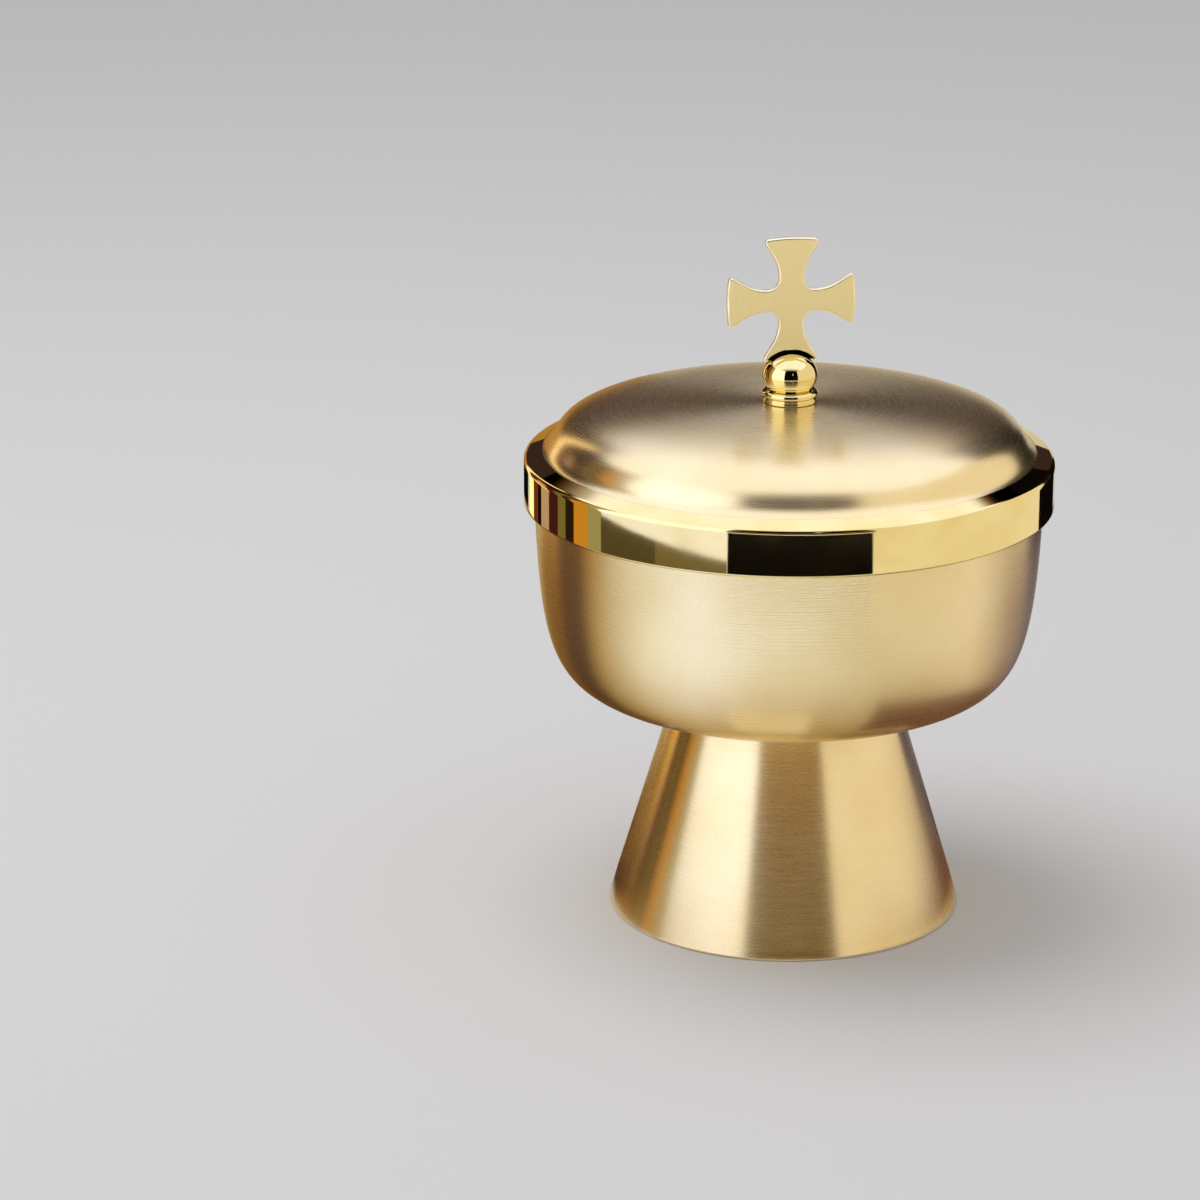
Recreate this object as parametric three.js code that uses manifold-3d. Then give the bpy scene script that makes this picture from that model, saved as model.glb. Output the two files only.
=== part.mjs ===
// A small lidded ciborium: a spun bowl clamped on a spun cone foot, and a domed lid
// that lifts off, with a turned rim, a ball and a flat cross to lift it by.
// Millimetres, +Z up, the origin in the middle of the ring that the foot stands on.

import * as THREE from 'three';
import { mergeVertices } from 'three/addons/utils/BufferGeometryUtils.js';
import Module from 'manifold-3d';

const wasm = await Module();
wasm.setup();

// Fits
const seam = 0.1; // solder film, or the play between two faces that are clamped
const slipFit = 0.4; // play of the lid's locating ring inside the bowl
const slotFit = 0.3; // play of the cross in and over the ball
const threadFit = 0.1; // between a screw's crests and its tapped hole
const boltFit = 0.3; // between a screw and a plain hole

// Foot: a cone shell with a closed top and a rim that is turned in
const footHeight = 60.1;
const footBaseRadius = 47.4;
const footTopRadius = 29.3;
const footWall = 1.2;
const footRimWidth = 3.6;
const footRimRound = 0.5;
const footShoulderRound = 0.9;

// Bowl: flat under the seat, full at the corner, almost upright at the lip
const bowlSeatRadius = 29.3;
const bowlMouthRadius = 67.6;
const bowlDepth = 62.6;
const bowlWall = 1.2;
const bowlFlare = 0.026; // radius gained for each millimetre of height at the lip
const bowlWallFullness = 0.97; // how far down the wall stays upright
const bowlFloorFullness = 0.87; // how far out the floor stays flat
const bowlFloorLift = 0.032; // slope of the floor where it leaves the seat

// Clamp that holds the bowl on the foot
const bossRadius = 8;
const bossHeight = 3;
const studRadius = 3;
const studReach = 3; // length of stud that shows below the nut
const dishRadius = 15;
const dishThickness = 1.5;
const lockWasherRadius = 6.1;
const lockWasherThickness = 1.5;
const lockWasherGap = 1.2;
const nutAcrossFlats = 10;
const nutHeight = 5;

// Lid rim: a ring of L section whose skirt hangs outside the bowl's lip
const skirtClearance = 0.8;
const skirtWall = 1.6;
const skirtHeight = 12.5;
const skirtEdgeRound = 0.6;
const rimEdgeRound = 1.5; // where the ledge turns down into the skirt
const rimThickness = 2; // from the seat on the lip up to the rim's outer edge
const ledgeWidth = 4.7;
const ledgeRise = 1.65;
const rebateDepth = 1.2;
const rebateWidth = 2;
const rimLand = 0.8; // metal left inside the rebate
const locatorHeight = 6;
const locatorWall = 1.2;

// Lid dome: a low crown with a full shoulder that runs out to the rim in a small cove
const domeRise = 13;
const domeWall = 1;
const domeCrownReach = 58.3;
const domeShoulderReach = 7.1;
const domeShoulderAngle = 62; // degrees below level where the shoulder meets the cove
const coveWidth = 2.4;
const coveHeight = 2.45;
const coveReach = 2.2;

// Finial
const collarRadius = 7.2;
const collarDrumHeight = 1.1;
const collarGroove = 0.3;
const collarBeadRadius = 7.45;
const collarBeadHeight = 1.7;
const ballRadius = 7.25;
const ballHalfHeight = 6.2;
const ballSeatDrop = 3.8; // from the ball's middle down to the flat that it sits on
const crossThickness = 1.8;
const crossBevel = 0.5;
const crossMiddleHeight = 20.1; // above the ball's middle
const uprightLength = 16.8;
const uprightWaist = 6.7;
const uprightTipWidth = 14;
const crossbarLength = 17.1;
const crossbarWaist = 5.8;
const crossbarTipWidth = 12.8;
const crotchRadius = 2.9;
const tipSetback = 1.8; // from an arm's end back to where its tip starts to round
const tipRound = 1.2;
const endCrown = 0.6; // how far the middle of an arm's end stands out
const tangWidth = 4.4;
const tangLength = 3.6;
const screwRadius = 2;
const screwHeadRadius = 3.75;
const screwHeadHeight = 2.4;
const screwSlotWidth = 1;
const screwSlotDepth = 1.2;
const screwGrip = 4.6; // length of thread inside the ball
const finialWasherRadius = 6;
const finialWasherThickness = 0.8;

// Fineness of the round surfaces
const vesselFacets = 56;
const finialFacets = 30;
const hardwareFacets = 20;

// Materials
const satinGold = { color: 0xcdb26a, roughness: 0.38, metalness: 1 };
const polishedGold = { color: 0xe0c268, roughness: 0.06, metalness: 1 };
const paleSatinGold = { color: 0xe6cf86, roughness: 0.42, metalness: 1 };
const bareBrass = { color: 0xb08d43, roughness: 0.45, metalness: 1 };
const springSteel = { color: 0x8c8c8c, roughness: 0.4, metalness: 1 };

const at = (radius, height) => new THREE.Vector2(radius, height);

// Turns an outline in (radius, height) about the Z axis. An outline that does not
// end on the axis closes on itself.
function turned(outline, facets) {
  const loop = [...outline];
  if (outline[0].x > 0 || outline.at(-1).x > 0) {
    loop.push(outline[0].clone());
  }
  if (THREE.ShapeUtils.area(loop) < 0) {
    loop.reverse();
  }
  const geometry = new THREE.LatheGeometry(loop, facets);
  geometry.rotateX(Math.PI / 2);
  return geometry;
}

// Rounds the corners of a closed outline. Each corner is [x, y, radius].
function rounded(corners, steps = 2) {
  const count = corners.length;
  return corners.flatMap(([x, y, radius = 0], index) => {
    const corner = at(x, y);
    if (radius === 0) {
      return [corner];
    }
    const toPrevious = at(...corners[(index + count - 1) % count]).sub(corner).normalize();
    const toNext = at(...corners[(index + 1) % count]).sub(corner).normalize();
    const halfAngle = Math.acos(toPrevious.dot(toNext)) / 2;
    const middle = toPrevious.clone().add(toNext).normalize();
    const centre = corner.clone().addScaledVector(middle, radius / Math.sin(halfAngle));
    const start = corner.clone().addScaledVector(toPrevious, radius / Math.tan(halfAngle)).sub(centre);
    const turn = Math.sign(toPrevious.cross(toNext)) * (2 * halfAngle - Math.PI);
    return Array.from({ length: steps + 1 }, (_, step) =>
      start.clone().rotateAround(at(0, 0), (turn * step) / steps).add(centre));
  });
}

// Points along a curve, moved to its left side by an inset.
function along(curve, steps, inset = 0) {
  return Array.from({ length: steps + 1 }, (_, step) => {
    const tangent = curve.getTangent(step / steps);
    return curve.getPoint(step / steps).add(at(-tangent.y, tangent.x).multiplyScalar(inset));
  });
}

// A closed geometry as a solid that can be cut, and back again.
function toSolid(geometry) {
  const bare = new THREE.BufferGeometry();
  bare.setAttribute('position', geometry.getAttribute('position'));
  bare.setIndex(geometry.getIndex());
  const merged = mergeVertices(bare, 1e-4);
  const corners = merged.getIndex().array;
  const triangles = [];
  for (let i = 0; i < corners.length; i += 3) {
    const [a, b, c] = corners.slice(i, i + 3);
    if (a !== b && b !== c && c !== a) {
      triangles.push(a, b, c);
    }
  }
  return new wasm.Manifold(new wasm.Mesh({
    numProp: 3,
    vertProperties: new Float32Array(merged.getAttribute('position').array),
    triVerts: new Uint32Array(triangles),
  }));
}

function toGeometry(solid) {
  const mesh = solid.getMesh();
  const geometry = new THREE.BufferGeometry();
  geometry.setAttribute('position', new THREE.BufferAttribute(mesh.vertProperties, 3));
  geometry.setIndex(new THREE.BufferAttribute(mesh.triVerts, 1));
  return geometry;
}

function box(width, depth, low, high) {
  return new THREE.BoxGeometry(width, depth, high - low).translate(0, 0, (low + high) / 2);
}

function piece(name, geometry, material) {
  const mesh = new THREE.Mesh(geometry, new THREE.MeshStandardMaterial(material));
  mesh.name = name;
  return mesh;
}

// Foot

const footTaper = (footBaseRadius - footTopRadius) / footHeight;

function footShell() {
  const slant = Math.hypot(1, footTaper);
  const insideAt = (height) => footBaseRadius - footTaper * height - footWall * slant;
  const underTop = footHeight - footWall;
  const holeRadius = bossRadius + boltFit;
  return turned(rounded([
    [footBaseRadius, 0, footRimRound],
    [footTopRadius, footHeight, footShoulderRound],
    [holeRadius, footHeight],
    [holeRadius, underTop],
    [insideAt(underTop), underTop],
    [insideAt(footWall), footWall],
    [footBaseRadius - footRimWidth, footWall],
    [footBaseRadius - footRimWidth, 0],
  ]), vesselFacets);
}

// Bowl, from its seat up

const bowlCurve = new THREE.CubicBezierCurve(
  at(bowlSeatRadius, 0),
  at(bowlSeatRadius, 0).addScaledVector(
    at(1, bowlFloorLift),
    bowlFloorFullness * (bowlMouthRadius - bowlSeatRadius),
  ),
  at(bowlMouthRadius, bowlDepth).addScaledVector(at(-bowlFlare, -1), bowlWallFullness * bowlDepth),
  at(bowlMouthRadius, bowlDepth),
);

function bowlShell() {
  const lipRadius = bowlWall / 2;
  const outside = along(bowlCurve, 14).slice(0, -1);
  const inside = along(bowlCurve, 12, bowlWall).slice(0, -1).reverse();
  const lip = [30, 90, 150].map((degrees) => {
    const angle = THREE.MathUtils.degToRad(degrees);
    const middle = at(bowlMouthRadius - lipRadius, bowlDepth - lipRadius);
    return middle.add(at(Math.cos(angle), Math.sin(angle)).multiplyScalar(lipRadius));
  });
  return turned([at(0, 0), ...outside, ...lip, ...inside, at(0, inside.at(-1).y)], vesselFacets);
}

// The bowl's inside radius at a height above its seat
function bowlInsideAt(height) {
  const wall = along(bowlCurve, 200, bowlWall);
  return wall.find((point) => point.y >= height).x;
}

// Clamp, measured down from the bowl's seat

const bossTop = -seam;
const bossBottom = bossTop - bossHeight;
const dishRimTop = -2 * seam - footWall;
const dishTop = bossBottom - boltFit;
const dishBottom = dishTop - dishThickness;
const lockWasherBottom = dishBottom - seam - lockWasherThickness;
const nutTop = lockWasherBottom - seam;
const nutBottom = nutTop - nutHeight;
const studTop = bossTop - boltFit;
const studBottom = nutBottom - studReach;

function bowlBoss() {
  const bore = studRadius + threadFit;
  return turned(rounded([
    [bore, bossBottom],
    [bossRadius, bossBottom, 0.4],
    [bossRadius, bossTop],
    [bore, bossTop],
  ]), hardwareFacets);
}

function tieStud() {
  const chamfer = 0.5;
  return turned([
    at(0, studBottom),
    at(studRadius - chamfer, studBottom),
    at(studRadius, studBottom + chamfer),
    at(studRadius, studTop - chamfer),
    at(studRadius - chamfer, studTop),
    at(0, studTop),
  ], hardwareFacets);
}

// The washer is dished, so that its rim bears on the foot and its middle clears the boss
function tieWasher() {
  const hole = studRadius + boltFit;
  const dishInside = bossRadius + 2 * boltFit;
  const dishOutside = dishInside + dishThickness;
  return turned([
    at(hole, dishBottom),
    at(dishOutside, dishBottom),
    at(dishOutside + dishThickness / 2, dishRimTop - dishThickness),
    at(dishRadius, dishRimTop - dishThickness),
    at(dishRadius, dishRimTop),
    at(dishInside + dishThickness / 2, dishRimTop),
    at(dishInside, dishTop),
    at(hole, dishTop),
  ], hardwareFacets);
}

function tieLockWasher() {
  const hole = studRadius + boltFit;
  const halfGap = lockWasherGap / 2 / hole;
  const split = new THREE.Shape();
  split.absarc(0, 0, lockWasherRadius, halfGap, 2 * Math.PI - halfGap, false);
  split.absarc(0, 0, hole, 2 * Math.PI - halfGap, halfGap, true);
  const settings = { depth: lockWasherThickness, bevelEnabled: false, curveSegments: hardwareFacets };
  return new THREE.ExtrudeGeometry(split, settings).translate(0, 0, lockWasherBottom);
}

function tieNut() {
  const cornerRadius = nutAcrossFlats / Math.sqrt(3);
  const chamfer = cornerRadius - nutAcrossFlats / 2;
  const hexagon = new THREE.Shape(Array.from({ length: 6 }, (_, side) =>
    at(cornerRadius, 0).rotateAround(at(0, 0), (side * Math.PI) / 3)));
  hexagon.holes.push(new THREE.Path().absarc(0, 0, studRadius + threadFit, 0, 2 * Math.PI, true));
  const settings = { depth: nutHeight, bevelEnabled: false, curveSegments: hardwareFacets };
  const prism = new THREE.ExtrudeGeometry(hexagon, settings).translate(0, 0, nutBottom);
  const corners = turned([
    at(0, nutBottom),
    at(cornerRadius - chamfer, nutBottom),
    at(cornerRadius + chamfer, nutBottom + chamfer),
    at(cornerRadius + chamfer, nutTop - chamfer),
    at(cornerRadius - chamfer, nutTop),
    at(0, nutTop),
  ], 2 * hardwareFacets);
  return toGeometry(toSolid(prism).intersect(toSolid(corners)));
}

// Lid, measured up from where its rim sits on the bowl's lip

const skirtInside = bowlMouthRadius + skirtClearance;
const lidRadius = skirtInside + skirtWall;
const skirtBottom = rimThickness - skirtHeight;
const creaseRadius = lidRadius - ledgeWidth;
const creaseHeight = rimThickness + ledgeRise;
const rebateFloor = creaseHeight - rebateDepth;
const rimInside = creaseRadius - rebateWidth - rimLand;
const domeApex = creaseHeight + domeRise;
const locatorBottom = -seam - locatorHeight;
const locatorRadius = bowlInsideAt(bowlDepth + locatorBottom) - slipFit;

function lidRimRing() {
  return turned(rounded([
    [lidRadius, skirtBottom, skirtEdgeRound],
    [lidRadius, rimThickness, rimEdgeRound],
    [creaseRadius, creaseHeight],
    [creaseRadius, rebateFloor],
    [rimInside, rebateFloor],
    [rimInside, 0],
    [skirtInside, 0],
    [skirtInside, skirtBottom, skirtEdgeRound],
  ]), vesselFacets);
}

function lidLocatingRing() {
  const lead = locatorWall / 2;
  return turned([
    at(locatorRadius, -seam),
    at(locatorRadius - locatorWall, -seam),
    at(locatorRadius - locatorWall, locatorBottom),
    at(locatorRadius - lead, locatorBottom),
    at(locatorRadius, locatorBottom + 2 * lead),
  ], vesselFacets);
}

// The dome's surface from the rim up to the apex, moved inward by an inset
function domeSurface(inset = 0) {
  const edge = at(creaseRadius - seam, creaseHeight);
  const angle = THREE.MathUtils.degToRad(domeShoulderAngle);
  const uphill = at(-Math.cos(angle), Math.sin(angle));
  const bend = edge.clone().add(at(-coveWidth, coveHeight));
  const cove = new THREE.QuadraticBezierCurve(
    edge,
    bend.clone().addScaledVector(uphill, -coveReach),
    bend,
  );
  const crown = new THREE.CubicBezierCurve(
    bend,
    bend.clone().addScaledVector(uphill, domeShoulderReach),
    at(domeCrownReach, domeApex),
    at(0, domeApex),
  );
  return [...along(cove, 3, inset), ...along(crown, 10, inset).slice(1)];
}

// The dome's edge lies in the rim's rebate, and its crown has the screw's hole
function lidDome() {
  const holeRadius = screwRadius + boltFit;
  const footInside = creaseRadius - rebateWidth;
  const footBottom = rebateFloor + seam;
  const outside = domeSurface().filter((point) => point.x > holeRadius);
  const inside = domeSurface(domeWall).filter((point) => point.x > holeRadius && point.x < footInside);
  return turned([
    at(creaseRadius - seam, footBottom),
    ...outside,
    at(holeRadius, domeApex),
    at(holeRadius, domeApex - domeWall),
    ...inside.reverse(),
    at(footInside, footBottom),
  ], vesselFacets);
}

// Finial, measured up from the dome's apex

const collarBottom = seam;
const collarTop = collarBottom + collarDrumHeight + collarGroove + collarBeadHeight;
const ballBottom = collarTop + seam;
const ballMiddle = ballBottom + ballSeatDrop;
const ballTop = ballMiddle + ballHalfHeight;
const washerTop = -domeWall - 2 * seam;
const washerBottom = washerTop - finialWasherThickness;
const screwHeadTop = washerBottom - seam;
const screwTip = ballBottom + screwGrip;
const crossMiddle = ballMiddle + crossMiddleHeight;
const tangBottom = ballTop - tangLength;

// The ball is a little flatter than a sphere: its radius at a height above its middle,
// and the height at a radius, both for a skin of that thickness over it
function ballRadiusAt(height) {
  return ballRadius * Math.sqrt(1 - (height / ballHalfHeight) ** 2);
}

function ballHeightAt(radius, skin = 0) {
  return (ballHalfHeight + skin) * Math.sqrt(1 - (radius / (ballRadius + skin)) ** 2);
}

function finialCollar() {
  const hole = screwRadius + boltFit;
  const grooveRadius = collarRadius - collarGroove;
  const drumTop = collarBottom + collarDrumHeight;
  const beadBottom = drumTop + collarGroove;
  const beadMiddle = at(collarBeadRadius - collarBeadHeight / 2, beadBottom + collarBeadHeight / 2);
  const bead = [-90, -60, -30, 0, 30, 60, 90].map((degrees) => {
    const reach = at(collarBeadHeight / 2, 0).rotateAround(at(0, 0), THREE.MathUtils.degToRad(degrees));
    return beadMiddle.clone().add(reach);
  });
  return turned([
    at(hole, collarBottom),
    at(collarRadius, collarBottom),
    at(collarRadius, drumTop),
    at(grooveRadius, drumTop),
    at(grooveRadius, beadBottom),
    ...bead,
    at(hole, collarTop),
  ], finialFacets);
}

// The ball is tapped from below for the screw and slotted from above for the cross
function finialBall() {
  const bore = screwRadius + threadFit;
  const boreTop = screwTip + boltFit - ballMiddle;
  const steps = 9;
  const start = -Math.asin(ballSeatDrop / ballHalfHeight);
  const skin = Array.from({ length: steps + 1 }, (_, step) => {
    const angle = THREE.MathUtils.mapLinear(step, 0, steps, start, Math.PI / 2);
    return at(ballRadius * Math.cos(angle), ballHalfHeight * Math.sin(angle));
  });
  skin[0].x = ballRadiusAt(-ballSeatDrop);
  skin[steps].x = 0;
  const body = turned([
    at(0, boreTop),
    at(bore, boreTop),
    at(bore, -ballSeatDrop),
    ...skin,
  ], finialFacets).translate(0, 0, ballMiddle);
  const slot = box(
    tangWidth + 2 * slotFit,
    crossThickness + 2 * slotFit,
    tangBottom - slotFit,
    ballTop + slotFit,
  );
  return toGeometry(toSolid(body).subtract(toSolid(slot)));
}

// One side of a flared arm in (along, across), from its root out to the middle of its end
function armSide(length, waist, tipWidth, otherWaist) {
  const root = at(otherWaist / 2 + crotchRadius, waist / 2);
  const tip = at(length - tipSetback, tipWidth / 2);
  const flare = (tipWidth - waist) / 2;
  const shoulder = at(length - endCrown, tip.y + tipRound / 2);
  const endStart = at(length - endCrown / 2, tip.y - tipRound);
  const side = new THREE.CubicBezierCurve(
    root,
    at(THREE.MathUtils.lerp(root.x, tip.x, 0.48), root.y),
    at(THREE.MathUtils.lerp(root.x, tip.x, 0.69), tip.y - 0.44 * flare),
    tip,
  );
  const corner = new THREE.QuadraticBezierCurve(tip, shoulder, endStart);
  const end = new THREE.QuadraticBezierCurve(endStart, at(length, endStart.y / 2), at(length, 0));
  return [...along(side, 7), ...along(corner, 3).slice(1), ...along(end, 2).slice(1)];
}

// The lower arm's end is hollowed over the ball, with a tang that goes into the slot
function footedSide(points) {
  const cut = (across) => crossMiddle - ballMiddle - ballHeightAt(across, slotFit);
  const tip = points.find((point) => point.x >= cut(point.y));
  const kept = points.slice(0, points.indexOf(tip));
  const reach = kept.at(-1).y;
  const steps = 5;
  const hollow = Array.from({ length: steps + 1 }, (_, step) => {
    const across = THREE.MathUtils.lerp(reach - crossBevel, tangWidth / 2, step / steps);
    return at(cut(across), across);
  });
  const tangEnd = crossMiddle - tangBottom;
  return [...kept, ...hollow, at(tangEnd, tangWidth / 2)];
}

function finialCross() {
  const upright = armSide(uprightLength, uprightWaist, uprightTipWidth, crossbarWaist);
  const crossbar = armSide(crossbarLength, crossbarWaist, crossbarTipWidth, uprightWaist);
  const sides = [crossbar, upright, crossbar, footedSide(upright)];
  const outline = sides.flatMap((side, quarter) => {
    const turn = (quarter * Math.PI) / 2;
    const near = side.map((point) => at(point.x, -point.y));
    const far = side.filter((point) => point.y > 0).reverse();
    const arm = [...near, ...far].map((point) => point.clone().rotateAround(at(0, 0), turn));
    return [...arm, ...crotch(quarter)];
  });
  const settings = {
    depth: crossThickness - 2 * crossBevel,
    bevelThickness: crossBevel,
    bevelSize: crossBevel,
    bevelOffset: -crossBevel,
    bevelSegments: 1,
  };
  return new THREE.ExtrudeGeometry(new THREE.Shape(outline), settings)
    .translate(0, 0, crossBevel - crossThickness / 2)
    .rotateX(Math.PI / 2)
    .translate(0, 0, crossMiddle);
}

// The round inside corner between two arms, without its ends
function crotch(quarter) {
  const signX = [1, -1, -1, 1][quarter];
  const signY = [1, 1, -1, -1][quarter];
  const centre = at(
    signX * (uprightWaist / 2 + crotchRadius),
    signY * (crossbarWaist / 2 + crotchRadius),
  );
  const start = ((quarter % 4) * Math.PI) / 2 - Math.PI / 2;
  return [1, 2, 3].map((step) => {
    const angle = start - (step * Math.PI) / 8;
    return at(crotchRadius, 0).rotateAround(at(0, 0), angle).add(centre);
  });
}

function finialWasher() {
  const hole = screwRadius + boltFit;
  return turned([
    at(hole, washerBottom),
    at(finialWasherRadius, washerBottom),
    at(finialWasherRadius, washerTop),
    at(hole, washerTop),
  ], hardwareFacets);
}

function finialScrew() {
  const chamfer = 0.4;
  const headBottom = screwHeadTop - screwHeadHeight;
  const body = turned([
    at(0, headBottom),
    at(screwHeadRadius - 2 * chamfer, headBottom),
    at(screwHeadRadius, headBottom + 2 * chamfer),
    at(screwHeadRadius, screwHeadTop),
    at(screwRadius, screwHeadTop),
    at(screwRadius, screwTip - chamfer),
    at(screwRadius - chamfer, screwTip),
    at(0, screwTip),
  ], hardwareFacets);
  const slotLength = 3 * screwHeadRadius;
  const slot = box(slotLength, screwSlotWidth, headBottom - screwSlotDepth, headBottom + screwSlotDepth);
  return toGeometry(toSolid(body).subtract(toSolid(slot)));
}

// Assembly

const bowlOnFoot = new THREE.Group();
bowlOnFoot.position.z = footHeight + seam;
bowlOnFoot.add(
  piece('bowl_shell', bowlShell(), satinGold),
  piece('bowl_boss', bowlBoss(), bareBrass),
  piece('tie_stud', tieStud(), bareBrass),
  piece('tie_washer', tieWasher(), bareBrass),
  piece('tie_lock_washer', tieLockWasher(), springSteel),
  piece('tie_nut', tieNut(), bareBrass),
);

const finial = new THREE.Group();
finial.position.z = domeApex;
finial.add(
  piece('finial_collar', finialCollar(), polishedGold),
  piece('finial_ball', finialBall(), polishedGold),
  piece('finial_cross', finialCross(), paleSatinGold),
  piece('finial_washer', finialWasher(), bareBrass),
  piece('finial_screw', finialScrew(), bareBrass),
);

const lid = new THREE.Group();
lid.position.z = bowlOnFoot.position.z + bowlDepth + seam;
lid.add(
  piece('lid_rim_ring', lidRimRing(), polishedGold),
  piece('lid_locating_ring', lidLocatingRing(), polishedGold),
  piece('lid_dome', lidDome(), satinGold),
  finial,
);

const ciborium = new THREE.Group();
ciborium.add(piece('foot_shell', footShell(), satinGold), bowlOnFoot, lid);

export default ciborium;
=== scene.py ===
"""A small lidded ciborium of spun and turned brass with gold plating.

A wide bowl stands on a plain cone foot. Its domed lid has a turned rim and lifts off
by a ball and a flat cross with flared arms. Lengths are in metres, and +Z is up.
"""

import logging
import math
from collections.abc import Iterable
from dataclasses import dataclass, field
from enum import Enum

import bmesh
import bpy
from bmesh.types import BMesh, BMVert
from bpy.types import Material, Node, NodeSocket, NodeTree, Object
from mathutils import Matrix, Vector
from mathutils.geometry import interpolate_bezier


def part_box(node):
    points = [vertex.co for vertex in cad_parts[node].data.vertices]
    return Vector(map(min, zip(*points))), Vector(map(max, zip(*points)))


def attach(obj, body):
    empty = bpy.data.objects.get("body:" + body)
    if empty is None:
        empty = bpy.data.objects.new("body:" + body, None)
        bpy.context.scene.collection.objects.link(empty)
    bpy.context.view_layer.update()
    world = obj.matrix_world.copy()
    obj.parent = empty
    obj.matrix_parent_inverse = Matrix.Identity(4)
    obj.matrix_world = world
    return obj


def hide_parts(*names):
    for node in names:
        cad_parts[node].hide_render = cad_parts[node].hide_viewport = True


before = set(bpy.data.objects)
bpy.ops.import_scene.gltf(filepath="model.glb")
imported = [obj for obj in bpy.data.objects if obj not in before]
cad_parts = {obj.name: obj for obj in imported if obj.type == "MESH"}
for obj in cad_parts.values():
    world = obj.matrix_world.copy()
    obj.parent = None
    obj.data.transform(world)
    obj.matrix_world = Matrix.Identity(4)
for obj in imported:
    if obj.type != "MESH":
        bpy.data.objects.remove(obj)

log = logging.getLogger("ciborium")

MILLIMETRE = 0.001
FULL_TURN = 2 * math.pi
UP = Vector((0, 0, 1))
SEAM = 0.1 * MILLIMETRE  # solder film, or the play between two faces that are clamped
MERGE_DISTANCE = 1e-7  # points that are closer than this are made one
SHARP_ANGLE = math.radians(32)  # an edge that bends more than this stays crisp
SECTORS = 16  # a piece is spun through one of these, which is then repeated round the axis
# the same marks carry a lighter colour on the brushed plates: a painted highlight along the edges
WEAR = "wear"  # the attribute that marks the edges which hands and cloths rub
WORN_ANGLE = math.radians(8)  # an edge that bends more than this gets rubbed
WEAR_PATCH = 5 * MILLIMETRE  # how far apart the more and the less rubbed stretches are
LEAST_WEAR = 0.3  # how much of the wear the least rubbed stretches have
FLAT_CORNERS = 8  # a face with more corners than this is a flat one
CROSS_TURN = math.radians(9)  # how far the cross is turned from the camera


class Body(Enum):
    """The two parts that move apart when the lid is lifted."""

    BASE = "base"
    LID = "lid"


class Slot(Enum):
    """The record's finishes."""

    SATIN = "satin_gold"
    POLISHED = "polished_gold"
    PALE_SATIN = "pale_satin_gold"
    BARE_BRASS = "bare_brass"
    STEEL = "spring_steel"


class Fineness(Enum):
    """How many steps a piece is spun in."""

    VESSEL = 256
    FINIAL = 128
    HARDWARE = 64


# Colours and nodes


def linear(hex_colour: str) -> tuple[float, float, float, float]:
    """Turns an sRGB hex colour into a linear one.

    Args:
        hex_colour: the colour as "#RRGGBB".

    Returns:
        Red, green, blue and an alpha of 1.
    """
    channels = [int(hex_colour[i:i + 2], 16) / 255 for i in (1, 3, 5)]
    red, green, blue = (
        c / 12.92 if c <= 0.04045 else ((c + 0.055) / 1.055) ** 2.4 for c in channels
    )
    return red, green, blue, 1.0


def add(
    tree: NodeTree,
    kind: str,
    settings: dict[str | int, object] | None = None,
    links: dict[str | int, NodeSocket] | None = None,
) -> Node:
    """Adds a node with its settings and links.

    Args:
        tree: the material's or the world's node tree.
        kind: Blender's name of the node's type.
        settings: values by the name of a field or of an input socket.
        links: the sockets that feed the node's inputs.

    Returns:
        The new node.
    """
    node = tree.nodes.new(kind)
    for key, value in (settings or {}).items():
        if isinstance(key, str) and hasattr(node, key):
            setattr(node, key, value)
        else:
            node.inputs[key].default_value = value
    for key, socket in (links or {}).items():
        tree.links.new(socket, node.inputs[key])
    return node


def new_material(name: str) -> tuple[Material, NodeTree]:
    """Makes an empty node material.

    Args:
        name: the material's name.

    Returns:
        The material and its node tree.
    """
    material = bpy.data.materials.new(name)
    material.use_nodes = True
    material.node_tree.nodes.clear()
    return material, material.node_tree


def wear_and_sheen(tree: NodeTree, place: NodeSocket) -> NodeSocket:
    """Finds how much a point is rubbed, and so where a painted edge highlight goes: only along edges,
    and unevenly.

    Args:
        tree: the material's node tree.
        place: the point on the piece.

    Returns:
        The wear, from 0 to 1.
    """
    edge = add(tree, "ShaderNodeAttribute", {"attribute_name": WEAR}).outputs["Fac"]
    patches = add(
        tree, "ShaderNodeTexNoise", {"Scale": 1 / WEAR_PATCH, "Detail": 2.0}, {"Vector": place}
    ).outputs["Fac"]
    share = add(
        tree,
        "ShaderNodeMapRange",
        {"From Min": 0.35, "From Max": 0.62, "To Min": LEAST_WEAR},
        {"Value": patches},
    ).outputs[0]
    return add(
        tree, "ShaderNodeMath", {"operation": "MULTIPLY"}, {0: edge, 1: share}
    ).outputs[0]


def blend(tree: NodeTree, share: NodeSocket, low: NodeSocket | str, high: str) -> NodeSocket:
    """Blends two colours.

    Args:
        tree: the material's node tree.
        share: how much of the second colour to take.
        low: the first colour, as a socket or in hex.
        high: the second colour, in hex.

    Returns:
        The blended colour.
    """
    settings = {"data_type": "RGBA", 7: linear(high)}
    links = {0: share}
    if isinstance(low, str):
        settings[6] = linear(low)
    else:
        links[6] = low
    return add(tree, "ShaderNodeMix", settings, links).outputs[2]


# Finishes


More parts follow.
